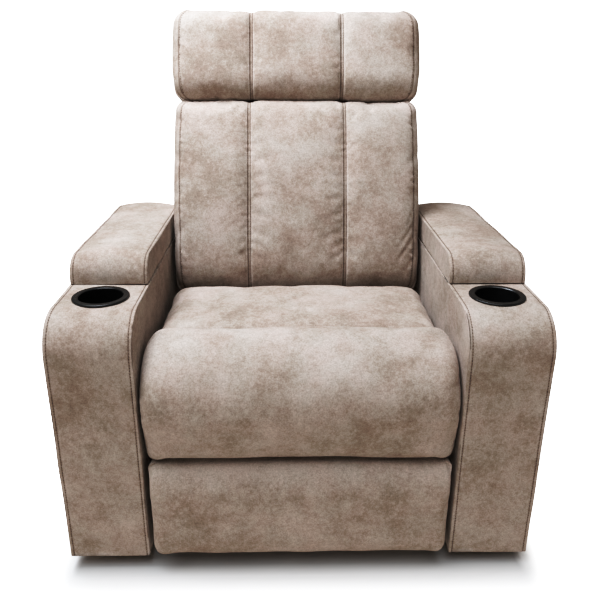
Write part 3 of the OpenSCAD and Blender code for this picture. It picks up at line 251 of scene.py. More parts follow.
# %% Tone curve
WHITE = 1.6  # this much light comes out white
TONES = ((0.1, 0.045), (0.2, 0.14), (0.3, 0.26), (0.42, 0.41), (0.6, 0.6), (0.8, 0.75), (1.0, 0.86), (1.3, 0.95))
scene.view_settings.view_transform = "Standard"
scene.view_settings.use_curve_mapping = True
film = scene.view_settings.curve_mapping
film.white_level = (WHITE, WHITE, WHITE)
for light, shown in TONES:
    film.curves[3].points.new(light / WHITE, shown)
film.update()
print("tone curve with", len(TONES), "points")

# %% [markdown]
# ## Node groups that the finishes share
# Real finishes are never one colour: they carry grain, clouds and rubbed places. Each such
# effect is a small node group that is built once and placed in every finish that needs it.
# All of them read the object's own coordinates, so a finish stays on its piece as it moves.

# %% Start a group
PUTS_OUT = (("Color", "Color"), ("Roughness", "Float"), ("Normal", "Vector"))


def new_group(name, inputs):
    """An empty group and its ends: inputs are (name, kind, value). It puts out what a surface needs."""
    group = bpy.data.node_groups.new(name, "ShaderNodeTree")
    for label, kind, value in (("Vector", "Vector", None), *inputs):
        socket = group.interface.new_socket(label, in_out="INPUT", socket_type="NodeSocket" + kind)
        if value is not None:
            socket.default_value = value
    for label, kind in PUTS_OUT:
        group.interface.new_socket(label, in_out="OUTPUT", socket_type="NodeSocket" + kind)
    taken = group.nodes.new("NodeGroupInput").outputs
    print("group", name, "takes", [socket.name for socket in taken if socket.name])
    return group, taken, group.nodes.new("NodeGroupOutput")


# %% [markdown]
# ### Clouded nap
# The cover is a faux nubuck: a short nap, printed with clouds and rubbed lighter in spots so
# that it looks like old leather. Layered noise gives that look. Wide noise makes the clouds,
# finer noise the blotches and flecks, and the finest the nap that catches the light.

# %% The clouded nap group
nap_group, given, nap_out = new_group("clouded_nap", (
    ("Dark", "Color", (0.2, 0.13, 0.09, 1)), ("Middle", "Color", (0.33, 0.24, 0.18, 1)),
    ("Light", "Color", (0.56, 0.46, 0.39, 1)), ("Rubbed And Lit", "Float", 0.0), ("Shaded", "Float", 0.0)))
v = given["Vector"]
clouds = noise(nap_group, v, 7.5, rough=0.6, distort=0.4)
blotches = noise(nap_group, v, 26.0, detail=5.0, rough=0.7, distort=0.2)
flecks = noise(nap_group, v, 130.0, detail=4.0, rough=0.68)
nap = noise(nap_group, v, 380.0, rough=0.8)
tone = math_node(nap_group, "MULTIPLY", clouds, 0.38)
# The rubbed mask lightens the tone with wear and painted light, and the shaded mask darkens it with painted shade.
for layer, share in ((blotches, 0.32), (flecks, 0.30), (given["Rubbed And Lit"], 0.12), (given["Shaded"], -0.16)):
    tone = math_node(nap_group, "ADD", tone, math_node(nap_group, "MULTIPLY", layer, share))
dark_to_mid = mix_colors(nap_group, map_range(nap_group, tone, 0.36, 0.5), given["Dark"], given["Middle"])
whole = mix_colors(nap_group, map_range(nap_group, tone, 0.48, 0.64), dark_to_mid, given["Light"])
spots = noise(nap_group, v, 75.0, detail=4.0, rough=0.6, distort=0.5)
worn_spot = map_range(nap_group, spots, 0.56, 0.72, to_high=0.4)
whole = mix_colors(nap_group, worn_spot, whole, given["Light"])
speck = ramp(nap_group, nap, ((0.32, (0.74, 0.73, 0.72)), (0.68, (1.18, 1.18, 1.18))))
whole = mix_colors(nap_group, 1.0, whole, speck, "MULTIPLY")
warm_cloud = noise(nap_group, v, 14.0, rough=0.6)
warmth = ramp(nap_group, warm_cloud, ((0.4, (0.995, 1.005, 0.995)), (0.6, (1.015, 0.985, 0.975))))
whole = mix_colors(nap_group, 1.0, whole, warmth, "MULTIPLY")
# Painted shade: the shaded mask also pulls the colour down towards the dark tone.
whole = mix_colors(nap_group, math_node(nap_group, "MULTIPLY", given["Shaded"], 0.6), whole, given["Dark"], "MULTIPLY")
creases = noise(nap_group, v, 150.0, detail=4.0, rough=0.65, distort=0.3)
relief = bump(nap_group, nap, strength=0.25, distance=0.0006)
relief = bump(nap_group, creases, strength=0.2, distance=0.0011, normal=relief)
relief = bump(nap_group, blotches, strength=0.12, distance=0.003, normal=relief)
feed(nap_group, nap_out, (
    ("Color", whole), ("Roughness", map_range(nap_group, tone, 0.35, 0.65, 0.86, 0.68)), ("Normal", relief)))

# %% [markdown]
# ### Moulded and coated grain
# Plastic, rubber and powder coat share a fine even grain with faint uneven gloss. Metal and
# timber have streaks along one direction. Two groups cover both, each with its own scales.

# %% The moulded grain group
DUST = (0.32, 0.31, 0.3, 1)
grain_group, given, grain_out = new_group("moulded_grain", (
    ("Color", "Color", (0.02, 0.02, 0.02, 1)), ("Scale", "Float", 900.0), ("Depth", "Float", 0.15),
    ("Gloss Low", "Float", 0.35), ("Dust", "Float", 0.1)))
grain = noise(grain_group, given["Vector"], given["Scale"], detail=2.0, rough=0.6)
smudge = noise(grain_group, given["Vector"], 14.0, detail=4.0, rough=0.65, distort=0.6)
dusty = math_node(grain_group, "MULTIPLY", map_range(grain_group, smudge, 0.45, 0.75), given["Dust"])
gloss = math_node(grain_group, "ADD", given["Gloss Low"], map_range(grain_group, smudge, 0.3, 0.7, to_high=0.16))
feed(grain_group, grain_out, (
    ("Color", mix_colors(grain_group, dusty, given["Color"], DUST)), ("Roughness", gloss),
    ("Normal", bump(grain_group, grain, given["Depth"], distance=0.0005))))

# %% The streaks group
STREAK = (3.0, 60.0, 60.0)  # a streak is 20 times as long as wide
streak_group, given, streak_out = new_group("streaks", (
    ("Dark", "Color", (0.3, 0.3, 0.3, 1)), ("Light", "Color", (0.6, 0.6, 0.6, 1)), ("Depth", "Float", 0.1),
    ("Gloss Low", "Float", 0.3)))
stretch = streak_group.nodes.new("ShaderNodeMapping")
feed(streak_group, stretch, (("Vector", given["Vector"]), ("Scale", STREAK)))
lines = noise(streak_group, stretch.outputs["Vector"], 4.0, detail=5.0, rough=0.6, distort=0.5)
gloss = math_node(streak_group, "ADD", given["Gloss Low"], map_range(streak_group, lines, 0.3, 0.7, to_high=0.2))
streaked = mix_colors(streak_group, map_range(streak_group, lines, 0.35, 0.65), given["Dark"], given["Light"])
feed(streak_group, streak_out, (
    ("Color", streaked), ("Roughness", gloss), ("Normal", bump(streak_group, lines, given["Depth"], distance=0.0006))))

# %% [markdown]
# ## Finishes
# Each finish places one of the groups and sends its colour, roughness and normal to a
# Principled shader in the material itself. What is the same all over, such as the sheen of
# the nap or the metal's metallic value, is set on the shader's own sockets.

# %% Place a group in a finish


def finish_material(name, group, values, shader, masks=()):
    """A material with one group. masks are (group input, mesh attribute) pairs."""
    material = bpy.data.materials.new(name)
    material.use_nodes = True
    tree = material.node_tree
    placed = tree.nodes.new("ShaderNodeGroup")
    placed.node_tree = group
    coordinates = tree.nodes.new("ShaderNodeTexCoord")
    feed(tree, placed, (("Vector", coordinates.outputs["Object"]), *values.items()))
    for label, attribute in masks:
        mask = tree.nodes.new("ShaderNodeAttribute")
        mask.attribute_name = attribute
        feed(tree, placed, [(label, mask.outputs["Fac"])])
    surface = zip(("Base Color", "Roughness", "Normal"), placed.outputs)
    feed(tree, tree.nodes["Principled BSDF"], (*surface, *shader.items()))
    return material


# %% Cover, thread, steel and timber
nubuck = finish_material(
    "clouded_nubuck", nap_group,
    {"Dark": (0.265, 0.207, 0.170, 1), "Middle": (0.376, 0.314, 0.270, 1), "Light": (0.516, 0.452, 0.412, 1)},
    {"Sheen Weight": 0.15, "Sheen Roughness": 0.5, "Sheen Tint": (1.0, 0.92, 0.84, 1), "Specular IOR Level": 0.25,
     "Specular Tint": (0.55, 0.44, 0.36, 1)},
    (("Rubbed And Lit", "rubbed_and_lit"), ("Shaded", "shaded")))
thread = finish_material(
    "brown_thread", streak_group, {"Dark": (0.09, 0.06, 0.045, 1), "Light": (0.2, 0.15, 0.12, 1), "Gloss Low": 0.5},
    {"Specular IOR Level": 0.3})
zinc = finish_material(
    "zinc_plating", streak_group,
    {"Dark": (0.5, 0.51, 0.52, 1), "Light": (0.74, 0.74, 0.73, 1), "Gloss Low": 0.22, "Depth": 0.05}, {"Metallic": 1.0})
plywood = finish_material(
    "birch_plywood", streak_group,
    {"Dark": (0.36, 0.22, 0.11, 1), "Light": (0.62, 0.44, 0.26, 1), "Gloss Low": 0.55, "Depth": 0.12}, {})
SLOT_FINISH = {"cover_fabric": nubuck, "timber": plywood, "zinc_plate": zinc}
print("finishes:", nubuck.name, thread.name, zinc.name, plywood.name)

# %% Mouldings and coats
GRAINED = (  # slot, name, colour, scale and depth of the grain, lowest roughness, dust, shader values
    ("black_plastic", "black_moulding", (0.014, 0.014, 0.015), 700.0, 0.3, 0.42, 0.03, {"Specular IOR Level": 0.4}),
    ("cup_plastic", "satin_cup_plastic", (0.006, 0.006, 0.006), 1100.0, 0.1, 0.24, 0.02,
     {"Coat Weight": 0.15, "Coat Roughness": 0.25}),
    ("painted_steel", "black_powder_coat", (0.03, 0.03, 0.032), 520.0, 0.35, 0.38, 0.08, {"Specular IOR Level": 0.5}),
    ("rubber", "black_rubber", (0.02, 0.02, 0.02), 1000.0, 0.2, 0.68, 0.12, {}),
    ("button_plastic", "grey_button_plastic", (0.12, 0.12, 0.125), 1200.0, 0.12, 0.3, 0.02, {}),
)
for slot, name, color, scale, depth, gloss_low, dust, shader in GRAINED:
    SLOT_FINISH[slot] = finish_material(
        name, grain_group, {"Color": (*color, 1), "Scale": scale, "Depth": depth, "Gloss Low": gloss_low, "Dust": dust},
        shader)
for part in frame["record"]["subparts"]:
    mesh = frame["nodes"][part["node"]].data
    mesh.materials.clear()
    mesh.materials.append(SLOT_FINISH[part["material_slot"]])

# %% [markdown]
# ## Stuffed forms
# A cushion is foam in a sewn cover. Its face is crowned, its edges roll over, its corners are
# round, and its walls are drawn in a little. A subdivided box would have no seams to sew along,
# so the form is a grid that follows the cushion's own outline: rows lie close together where
# the edge rolls over, and columns lie close together at each sewn channel.

# %% Rows and columns of a form
EDGE_STEPS = 8
edge_shares = 1 - np.sin(np.linspace(math.pi / 2, 0, EDGE_STEPS + 1))
SEAM_OFFSETS = np.array([0.0008, 0.0018, 0.0032, 0.0046, 0.0065, 0.0095, 0.0135])
TINY = 1e-9  # keeps a division from meeting zero
print("columns beside a seam, in mm:", (SEAM_OFFSETS * 1000).round(1))


def corner_inset(distance, radius):
    d = np.clip(distance, 0, radius)
    return radius - np.sqrt(np.maximum(0, radius ** 2 - (radius - d) ** 2))


def half_width(y, hw, y0, y1, corner, barrel):
    """How far the form reaches to each side at y, with its corners round and its sides swollen."""
    bowed = barrel * ((y - (y0 + y1) / 2) / ((y1 - y0) / 2)) ** 2
    return hw - corner_inset(y - y0, corner[0]) - corner_inset(y1 - y, corner[1]) - bowed


def column_places(inner, seams, step):
    """Columns between the side edges, even apart from the close ones at each seam."""
    count = max(4, int(round(2 * inner / step)))
    places = np.linspace(-inner, inner, count + 1)[1:-1]
    for s in seams:
        for sign in (-1, 1):
            near = np.abs(places - sign * s) < SEAM_OFFSETS[-1] + step / 3
            places = places[~near]
            places = np.concatenate([places, sign * s + SEAM_OFFSETS, [sign * s], sign * s - SEAM_OFFSETS])
    return np.sort(places)


def grid_quads(index):
    return np.stack([index[:-1, :-1], index[:-1, 1:], index[1:, 1:], index[1:, :-1]], -1).reshape(-1, 4)


def grid_rim(ny, nx):
    """Rows and columns of the points around a grid, in order."""
    rim = [(0, i) for i in range(nx)] + [(j, nx - 1) for j in range(1, ny)]
    rim += [(ny - 1, i) for i in range(nx - 2, -1, -1)] + [(j, 0) for j in range(ny - 2, 0, -1)]
    return tuple(np.array(rim).T)


# %% [markdown]
# The face is worked out in one go for all its points. How far a point lies over an edge sets how
# deep it drops there, and where two edges meet, both shares blend, as foam does at a corner.

# %% Face of a form
CHANNEL_WIDTH, CHANNEL_DEPTH = 0.007, 0.004
CHANNEL_FADE = 0.6  # a channel loses this much of its depth where it runs over an end
PULL_WIDTH, PULL_REACH = 0.016, 0.03
FIXED_PAST_SEAM = 0.002  # columns further out than this past a seam's own columns follow the outline


def form_face(hw, y0, y1, corner, side, low, high, crown, seams, step, barrel, puff, scallop, arch):
    """Points of the face as x, y and z grids, and each point's gap to the nearer side."""
    mid, half = (y0 + y1) / 2, (y1 - y0) / 2
    inner = hw - side[0]
    count = max(3, int(round((y1 - high[0] - y0 - low[0]) / step)))
    rows = np.linspace(y0 + low[0], y1 - high[0], count + 1)[1:-1]
    ys = np.concatenate([y0 + edge_shares * low[0], rows, (y1 - edge_shares * high[0])[::-1]])
    reach = half_width(ys, hw, y0, y1, corner, barrel)[:, None]
    middle = column_places(inner, seams, step)
    fixed = max(seams) + SEAM_OFFSETS[-1] + FIXED_PAST_SEAM if seams else 0.4 * inner
    outside = np.maximum(0, np.abs(middle) - fixed) / (inner - fixed)
    xs = np.sign(middle) * (np.minimum(np.abs(middle), fixed) + outside * (reach - side[0] - fixed))
    left = -reach + edge_shares[None, :] * side[0]
    x = np.concatenate([left, xs, -left[:, ::-1]], 1)
    y = np.repeat(ys[:, None], x.shape[1], 1)
    rim_gap = reach - np.abs(x)
    over_side = np.clip(1 - rim_gap / side[0], 0, 1)
    over_low = np.clip(1 - (y - y0) / low[0], 0, 1)
    over_high = np.clip(1 - (y1 - y) / high[0], 0, 1)
    over_end = np.maximum(over_low, over_high)
    end_drop = np.where(over_low > over_high, low[1], high[1])
    both = over_side ** 2 + over_end ** 2
    drop = (side[1] * over_side ** 2 + end_drop * over_end ** 2) / np.maximum(both, TINY)
    drop = drop * (1 - np.sqrt(np.maximum(0, 1 - np.minimum(1, both))))
    along = (y - mid) / half
    z = crown * (1 - (x / hw) ** 2) * (1 - along ** 4) + arch * (1 - along ** 2) * (1 - (x / hw) ** 6) - drop
    if seams:
        channel = sum(np.exp(-((np.abs(x) - s) / CHANNEL_WIDTH) ** 2) for s in seams) * CHANNEL_DEPTH
        z = z - channel * (1 - CHANNEL_FADE * over_end) * (1 - over_side)
        pull = sum(np.exp(-((np.abs(x) - s) / PULL_WIDTH) ** 2) for s in seams)
    sewn = sorted([*(-s for s in seams), *seams])
    for a, b in zip([-hw, *sewn], [*sewn, hw]):
        inside = np.clip((x - a) * (b - x) * 4 / (b - a) ** 2, 0, 1)
        z += puff * inside ** 0.8 * (1 - along ** 4)
    if seams:
        y = y - scallop * pull * (np.exp(-(y1 - y) / PULL_REACH) - np.exp(-(y - y0) / PULL_REACH))
    return x, y, z, rim_gap


# %% [markdown]
# A flat rear and a wall close the form. The wall is drawn in halfway, as a cover pulled tight
# over foam is. Each point also keeps where it lies on the face, so that seams can find it later.

# %% Close a form
READINGS = ("across", "along", "depth_share", "side_gap", "end_gap")


def smooth_shaded(made):
    made.data.polygons.foreach_set("use_smooth", [True] * len(made.data.polygons))
    made.data.update()


def mesh_object(name, points, faces, place=None, floats=None):
    mesh = bpy.data.meshes.new(name)
    mesh.from_pydata(points, [], faces)
    for label, values in (floats or {}).items():
        mesh.attributes.new(label, "FLOAT", "POINT").data.foreach_set("value", np.asarray(values, np.float32))
    if place is not None:
        mesh.transform(place)
    made = bpy.data.objects.new(name, mesh)
    smooth_shaded(made)
    scene.collection.objects.link(made)
    return made


def stuffed(name, place, hw, y0, y1, corner, side, low, high, thick, crown, seams=(), waist=0.002, step=0.008,
            walls=8, barrel=0.0, puff=0.0, scallop=0.0, arch=0.0):
    """A closed stuffed form that reaches hw to each side and from y0 to y1 along.

    corner holds the radii at its low and high end; side, low and high are edges of (reach, drop).
    barrel is how far its sides swell between its ends, puff how far each panel between two seams
    swells, scallop how far a seam pulls the ends in, and arch how far the face bows along.
    """
    x, y, z, rim_gap = form_face(hw, y0, y1, corner, side, low, high, crown, seams, step, barrel, puff, scallop, arch)
    mid, half = (y0 + y1) / 2, (y1 - y0) / 2
    face = np.stack([x, y, z], -1)
    rear = face.copy()
    rear[..., 2] = -thick
    front_index = np.arange(x.size).reshape(x.shape)
    rim = grid_rim(*x.shape)
    edge = face[rim]
    points = [face.reshape(-1, 3), rear.reshape(-1, 3)]
    rings, wall_share = [front_index[rim]], []
    for k in range(1, walls):
        t = k / walls
        draw = waist * math.sin(math.pi * t)
        ring = edge.copy()
        ring[:, 0] *= 1 - draw / hw
        ring[:, 1] = mid + (ring[:, 1] - mid) * (1 - draw / half)
        ring[:, 2] = edge[:, 2] * (1 - t) - thick * t
        rings.append(np.arange(len(edge)) + 2 * x.size + (k - 1) * len(edge))
        points.append(ring)
        wall_share += [t] * len(edge)
    rings.append(front_index[rim] + x.size)
    quads = [grid_quads(front_index), grid_quads(front_index + x.size)[:, ::-1]]
    for a, b in zip(rings[:-1], rings[1:]):
        quads.append(np.stack([a, b, np.roll(b, -1), np.roll(a, -1)], -1))
    points, no_gap = np.concatenate(points), np.zeros(len(wall_share))
    end_gap = np.minimum(y - y0, y1 - y)
    readings = (
        np.concatenate([x.ravel(), x.ravel(), np.tile(edge[:, 0], walls - 1)]),
        np.concatenate([y.ravel(), y.ravel(), np.tile(edge[:, 1], walls - 1)]),
        np.concatenate([np.zeros(x.size), np.ones(x.size), wall_share]),
        np.concatenate([rim_gap.ravel(), rim_gap.ravel(), no_gap]),
        np.concatenate([end_gap.ravel(), end_gap.ravel(), no_gap]))
    return mesh_object(name, points.tolist(), np.concatenate(quads).tolist(), place, dict(zip(READINGS, readings)))


# %% [markdown]
# The roll is different: it is one long bolster whose section changes from a flat front to a
# round top. So its section is drawn once as a closed outline, in depth and height, and swept
# across. Towards each end the section shrinks along a quarter circle, which rounds the ends.

# %% Sweep of a bolster
CAP_RINGS = (0.3, 0.65)  # sizes of the rings that close an end round its hub


def arc(y, z, radii, start, end, count):
    """Points on an arc about (y, z), from one angle to another, with its reach along each axis."""
    a = np.radians(np.linspace(start, end, count))
    return np.stack([y + radii[0] * np.cos(a), z + radii[1] * np.sin(a)], -1)


def face_outwards(work):
    bmesh.ops.recalc_face_normals(work, faces=work.faces)


def edit(made, *steps):
    """Runs steps on a made mesh's faces and edges."""
    work = bmesh.new()
    work.from_mesh(made.data)
    for step in steps:
        step(work)
    work.to_mesh(made.data)
    work.free()


def bolster(name, section, hidden, hw, end_r, centre, crown, step=0.008):
    """section is a closed outline (depth, height); hidden marks its points that no one sees."""
    inner = hw - end_r
    middle = np.linspace(-inner, inner, int(round(2 * inner / step)) + 1)[1:-1]
    ends = -hw + edge_shares * end_r
    xs = np.concatenate([ends, middle, -ends[::-1]])
    inset = corner_inset(hw - np.abs(xs), end_r)
    reach = np.array([centre[0] - section[:, 0].min(), section[:, 1].max() - centre[1]])
    rel = section - centre
    n = len(section)
    points, floats = [], {label: [] for label in READINGS}

    def ring(x, scale, lift):
        loop = centre + rel * scale
        loop[:, 1] += lift * np.clip(rel[:, 1] / reach[1], 0, 1)
        points.append(np.concatenate([np.full((n, 1), x), loop], 1))
        for label, values in zip(READINGS, (x, section[:, 1], hidden, hw - abs(x), 1.0)):
            floats[label].append(np.broadcast_to(values, n))

    for cap in CAP_RINGS:
        ring(xs[0], (1 - inset[0] / reach) * cap, 0)
    for x, i in zip(xs, inset):
        ring(x, 1 - i / reach, crown * (1 - (x / hw) ** 2))
    for cap in CAP_RINGS[::-1]:
        ring(xs[-1], (1 - inset[-1] / reach) * cap, 0)
    count = len(points)
    index = np.arange(n * count).reshape(count, n)
    faces = grid_quads(np.concatenate([index, index[:, :1]], 1)).tolist()
    for x, loop, hub, flip in ((xs[0], index[0], n * count, 1), (xs[-1], index[-1], n * count + 1, -1)):
        points.append(np.array([[x, *centre]]))
        for label in floats:
            floats[label].append(np.array([1.0 if label == "end_gap" else 0.0]))
        faces += [(hub, int(a), int(b))[::flip] for a, b in zip(np.roll(loop, -1), loop)]
    made = mesh_object(name, np.concatenate(points).tolist(), faces, Matrix.Translation((0, ARM_FRONT, 0)),
                       {label: np.concatenate(values) for label, values in floats.items()})
    edit(made, face_outwards)
    return made


# %% [markdown]
# ## Air, seams and wrinkles
# Three passes turn the form into upholstery. First a short cloth simulation blows the cover up
# while its seams and rear are held, which gives the fullness and the small puckers at seams
# that are hard to draw by hand. Then one subdivision smooths it. Last, seams are pressed in and
# folds are added along the surface's normals, because a simulation at this size is too coarse
# for a stitch line.

# %% Read and move a mesh


def points_of(made):
    co = np.zeros(len(made.data.vertices) * 3)
    made.data.vertices.foreach_get("co", co)
    return co.reshape(-1, 3)


def normals_of(made):
    out = np.zeros(len(made.data.vertices) * 3)
    made.data.vertex_normals.foreach_get("vector", out)
    return out.reshape(-1, 3)


def move_to(made, points):
    made.data.vertices.foreach_set("co", points.ravel())
    made.data.update()


def floats_of(made, *labels):
    out = []
    for label in labels:
        values = np.zeros(len(made.data.vertices))
        made.data.attributes[label].data.foreach_get("value", values)
        out.append(values)
    return out


def set_float(made, label, values):
    made.data.attributes.new(label, "FLOAT", "POINT").data.foreach_set("value", np.asarray(values, np.float32))


# %% Blow the covers up
FRAMES = 16
SEAM_HELD = 0.006  # the cover comes free over this distance beside a seam
WALL_HELD, WALL_FADE = 0.45, 0.15  # shares of the wall's depth
INWARD_SHARE = 0.15  # the boards behind keep the width
CLOTH = {
    "quality": 5, "mass": 0.25, "tension_stiffness": 18, "compression_stiffness": 18, "shear_stiffness": 8,
    "bending_stiffness": 0.6, "vertex_group_mass": "held", "use_pressure": True, "uniform_pressure_force": 4.0,
    "shrink_min": -0.02}
inflated = []


def hold(made, seams):
    """Marks the points that the cover is held at: the rear of its walls, and its sewn channels."""
    across, depth = floats_of(made, "across", "depth_share")
    held = np.clip((depth - WALL_HELD) / WALL_FADE, 0, 1)
    for s in seams:
        held = np.maximum(held, np.clip(1.6 - np.abs(np.abs(across) - s) / SEAM_HELD, 0, 1) * (depth < 0.01))
    group = made.vertex_groups.new(name="held")
    for i, w in enumerate(held):
        if w > 0:
            group.add([i], float(w), "REPLACE")


def inflate(made, cap):
    """Adds the air. cap is the furthest that a point may move."""
    cloth = made.modifiers.new("air", "CLOTH")
    for label, value in CLOTH.items():
        setattr(cloth.settings, label, value)
    cloth.settings.effector_weights.gravity = 0
    cloth.collision_settings.use_collision = False
    cloth.point_cache.frame_start = 1
    cloth.point_cache.frame_end = FRAMES
    inflated.append((made, cap))


def blow_up():
    """Runs every cloth at once, keeps the shape it reached, and removes the modifiers."""
    for f in range(1, FRAMES + 1):
        scene.frame_set(f)
    graph = bpy.context.evaluated_depsgraph_get()
    for made, cap in inflated:
        start = points_of(made)
        move = points_of(made.evaluated_get(graph)) - start
        move[move[:, 0] * start[:, 0] < 0, 0] *= INWARD_SHARE
        far = np.linalg.norm(move, axis=1, keepdims=True)
        move *= cap * np.tanh(far / cap) / np.maximum(far, TINY)
        print(made.name, "moved at most", round(float(far.max()) * 1000, 1), "mm, kept within", cap * 1000)
        made.modifiers.remove(made.modifiers["air"])
        move_to(made, start + move)
    scene.frame_set(1)


# %% Smooth, press and ripple


def apply_modifier(made, kind, **settings):
    modifier = made.modifiers.new(kind.lower(), kind)
    for label, value in settings.items():
        setattr(modifier, label, value)
    graph = bpy.context.evaluated_depsgraph_get()
    mesh = bpy.data.meshes.new_from_object(made.evaluated_get(graph))
    made.modifiers.remove(modifier)
    old = made.data
    made.data = mesh
    bpy.data.meshes.remove(old)


def push(made, amount):
    """Moves each point along its normal."""
    move_to(made, points_of(made) + normals_of(made) * amount[:, None])


def ripples(points, size, seed, waves=9):
    """A smooth random field from -1 to 1 or so, with features of that size, the same each run."""
    rng = np.random.default_rng(seed)
    out = np.zeros(len(points))
    for _ in range(waves):
        d = rng.normal(size=3)
        d *= 2 * math.pi / (size * rng.uniform(0.7, 1.5)) / np.linalg.norm(d)
        out += np.sin(points @ d + rng.uniform(0, 2 * math.pi))
    return out / math.sqrt(waves)


def groove(distance, width):
    return np.exp(-(distance / width) ** 2)


def dent(distance, size):
    """A groove of that (depth, width)."""
    return size[0] * groove(distance, size[1])


# %% [markdown]
# ## Stitches
# A topstitch is a row of short threads that dip into the cover at both ends. Drawn lines would
# vanish in a close view, so each stitch is a small spindle laid on the finished surface. A ray
# finds the surface under each end, and that also gives the way the stitch faces.

# %% Shape of a stitch
STITCH_PITCH = 0.0058
STITCH_LENGTH = 0.0036
THREAD_RADIUS = 0.00075
SPINDLE = ((0.0, 0.35, -0.0003), (0.22, 1.0, 0.0003), (0.78, 1.0, 0.0003), (1.0, 0.35, -0.0003))  # share, size, lift
SIDES = 6
SPINDLE_FACES = SIDES * (len(SPINDLE) - 1) + 2


def spindle(a, b, normal, points, faces):
    """Adds one stitch from a to b."""
    run = b - a
    side = normal.cross(run).normalized()
    first = len(points)
    for share, scale, lift in SPINDLE:
        centre = a + run * share + normal * lift
        for k in range(SIDES):
            angle = 2 * math.pi * k / SIDES
            points.append(centre + (side * math.cos(angle) + normal * math.sin(angle)) * THREAD_RADIUS * scale)
    for r in range(len(SPINDLE) - 1):
        p, q = first + r * SIDES, first + (r + 1) * SIDES
        faces += [(p + k, p + (k + 1) % SIDES, q + (k + 1) % SIDES, q + k) for k in range(SIDES)]
    faces.append(tuple(range(first + SIDES - 1, first - 1, -1)))
    faces.append(tuple(range(first + (len(SPINDLE) - 1) * SIDES, first + len(SPINDLE) * SIDES)))


# %% Lay rows of stitches


def walk(path, outs):
    """Places of the stitches along a path, and a reader of the path's point and outward direction."""
    lengths = np.concatenate([[0], np.cumsum(np.linalg.norm(np.diff(path, axis=0), axis=1))])

    def read(s):
        point, out = ([np.interp(s, lengths, values[:, k]) for k in range(3)] for values in (path, outs))
        return Vector(point), Vector(np.array(out) / np.linalg.norm(out))
    return np.arange(STITCH_PITCH / 2, lengths[-1], STITCH_PITCH), read


def sew(name, made, body, rows, reach=0.05):
    """Rows are (path, outward directions). All stitches of a piece are one object."""
    mesh = made.data
    tree = BVHTree.FromPolygons([v.co.copy() for v in mesh.vertices], [tuple(p.vertices) for p in mesh.polygons])
    points, faces = [], []
    for path, outs in rows:
        at, read = walk(path, outs)
        for s in at:
            ends = []
            for place in (s - STITCH_LENGTH / 2, s + STITCH_LENGTH / 2):
                point, out = read(place)
                hit, normal, _, _ = tree.ray_cast(point + out * reach, -out, 2 * reach)
                if hit is not None and normal.dot(out) > 0:
                    ends.append((hit, normal))
            if len(ends) == 2 and (ends[0][0] - ends[1][0]).length < 2 * STITCH_LENGTH:
                spindle(ends[0][0], ends[1][0], (ends[0][1] + ends[1][1]).normalized(), points, faces)
    stitches = mesh_object(name, [tuple(p) for p in points], faces)
    stitches.data.materials.append(thread)
    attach(stitches, body)
    print(name, len(faces) // SPINDLE_FACES, "stitches")


# %% [markdown]
# ## Cushions of the seat, footrest and back
# The measures are those of the CAD solids that these cushions stand for. Back and head have two
# sewn channels each. The roll is the seat's front edge, and the panel under it is the footrest.
# All of them are made first, then blown up together, and only then sewn.

# %% Seat cushion
seat_cushion = stuffed(
    "seat_cushion_cover", lying(SEAT_TOP), hw=0.292, y0=0.1288, y1=0.434, corner=(0.015, 0.046), side=(0.030, 0.026),
    low=(0.036, 0.018), high=(0.036, 0.030), thick=0.1247, crown=0.015)
print("seat cushion", len(seat_cushion.data.vertices), "points")

# %% [markdown]
# ### Front roll
# Seen from its side, the roll has a broad top, a tight shoulder and then a long fall to a small
# tucked edge. The top is laid as a chain of short arcs, each given by its length and by how
# steep it is at its end, which is how one would bend a strip of card to the photographed curve.

# %% Section and sweep of the roll
ROLL_LOW, ROLL_HIGH, ROLL_REAR = 0.247, 0.475, 0.1275
ROLL_CREST = 0.117  # depth of the highest point
ROLL_FRONT, ROLL_TUCK = -0.006, 0.282  # depth of the flat front, and the height where it turns under
ROLL_TOP = (  # from the crest forward: (length, slope at its end)
    (0.042, 16), (0.030, 26), (0.030, 36), (0.024, 48), (0.022, 60), (0.020, 71), (0.020, 80), (0.020, 87))
ARC_STEPS, FRONT_STEPS = 4, 8
ROLL_HIDDEN = (  # the outline behind, which no one sees
    (ROLL_REAR, 0.43), (ROLL_REAR, 0.40), (ROLL_REAR, 0.37), (ROLL_REAR, 0.332), (0.100, 0.330), (0.074, 0.330),
    (0.064, 0.322), (0.062, 0.30), (0.062, 0.27), (0.058, ROLL_LOW + 0.001), (0.034, ROLL_LOW))
roll_arc = [(ROLL_CREST, ROLL_HIGH)]
slope = 0.0
for length, end in ROLL_TOP:
    start_slope = slope
    for _ in range(ARC_STEPS):
        slope += (math.radians(end) - start_slope) / ARC_STEPS
        d, z = roll_arc[-1]
        step = length / ARC_STEPS
        roll_arc.append((d - step * math.cos(slope), z - step * math.sin(slope)))
roll_arc = np.array(roll_arc[::-1])
front_line = (np.linspace(place, end, FRONT_STEPS)[1:-1] for place, end in zip((ROLL_FRONT, ROLL_TUCK), roll_arc[0]))
roll_section = np.concatenate([
    arc(0.014, ROLL_TUCK, (0.020, 0.035), 270, 180, 8), np.stack(list(front_line), -1), roll_arc,
    arc(ROLL_CREST, 0.4545, (0.0105, 0.0205), 70, 0, 5), ROLL_HIDDEN])
HIDDEN_FROM_ARC = 2  # the last points of the rear arc are out of sight too
hidden_count = len(ROLL_HIDDEN) + HIDDEN_FROM_ARC
roll_hidden = np.concatenate([np.zeros(len(roll_section) - hidden_count), np.ones(hidden_count)])
front_roll = bolster("front_roll_cover", roll_section, roll_hidden, hw=0.295, end_r=0.032,
                     centre=np.array([0.062, 0.285]), crown=0.011)
print("roll section with", len(roll_section), "points,", hidden_count, "of them hidden")

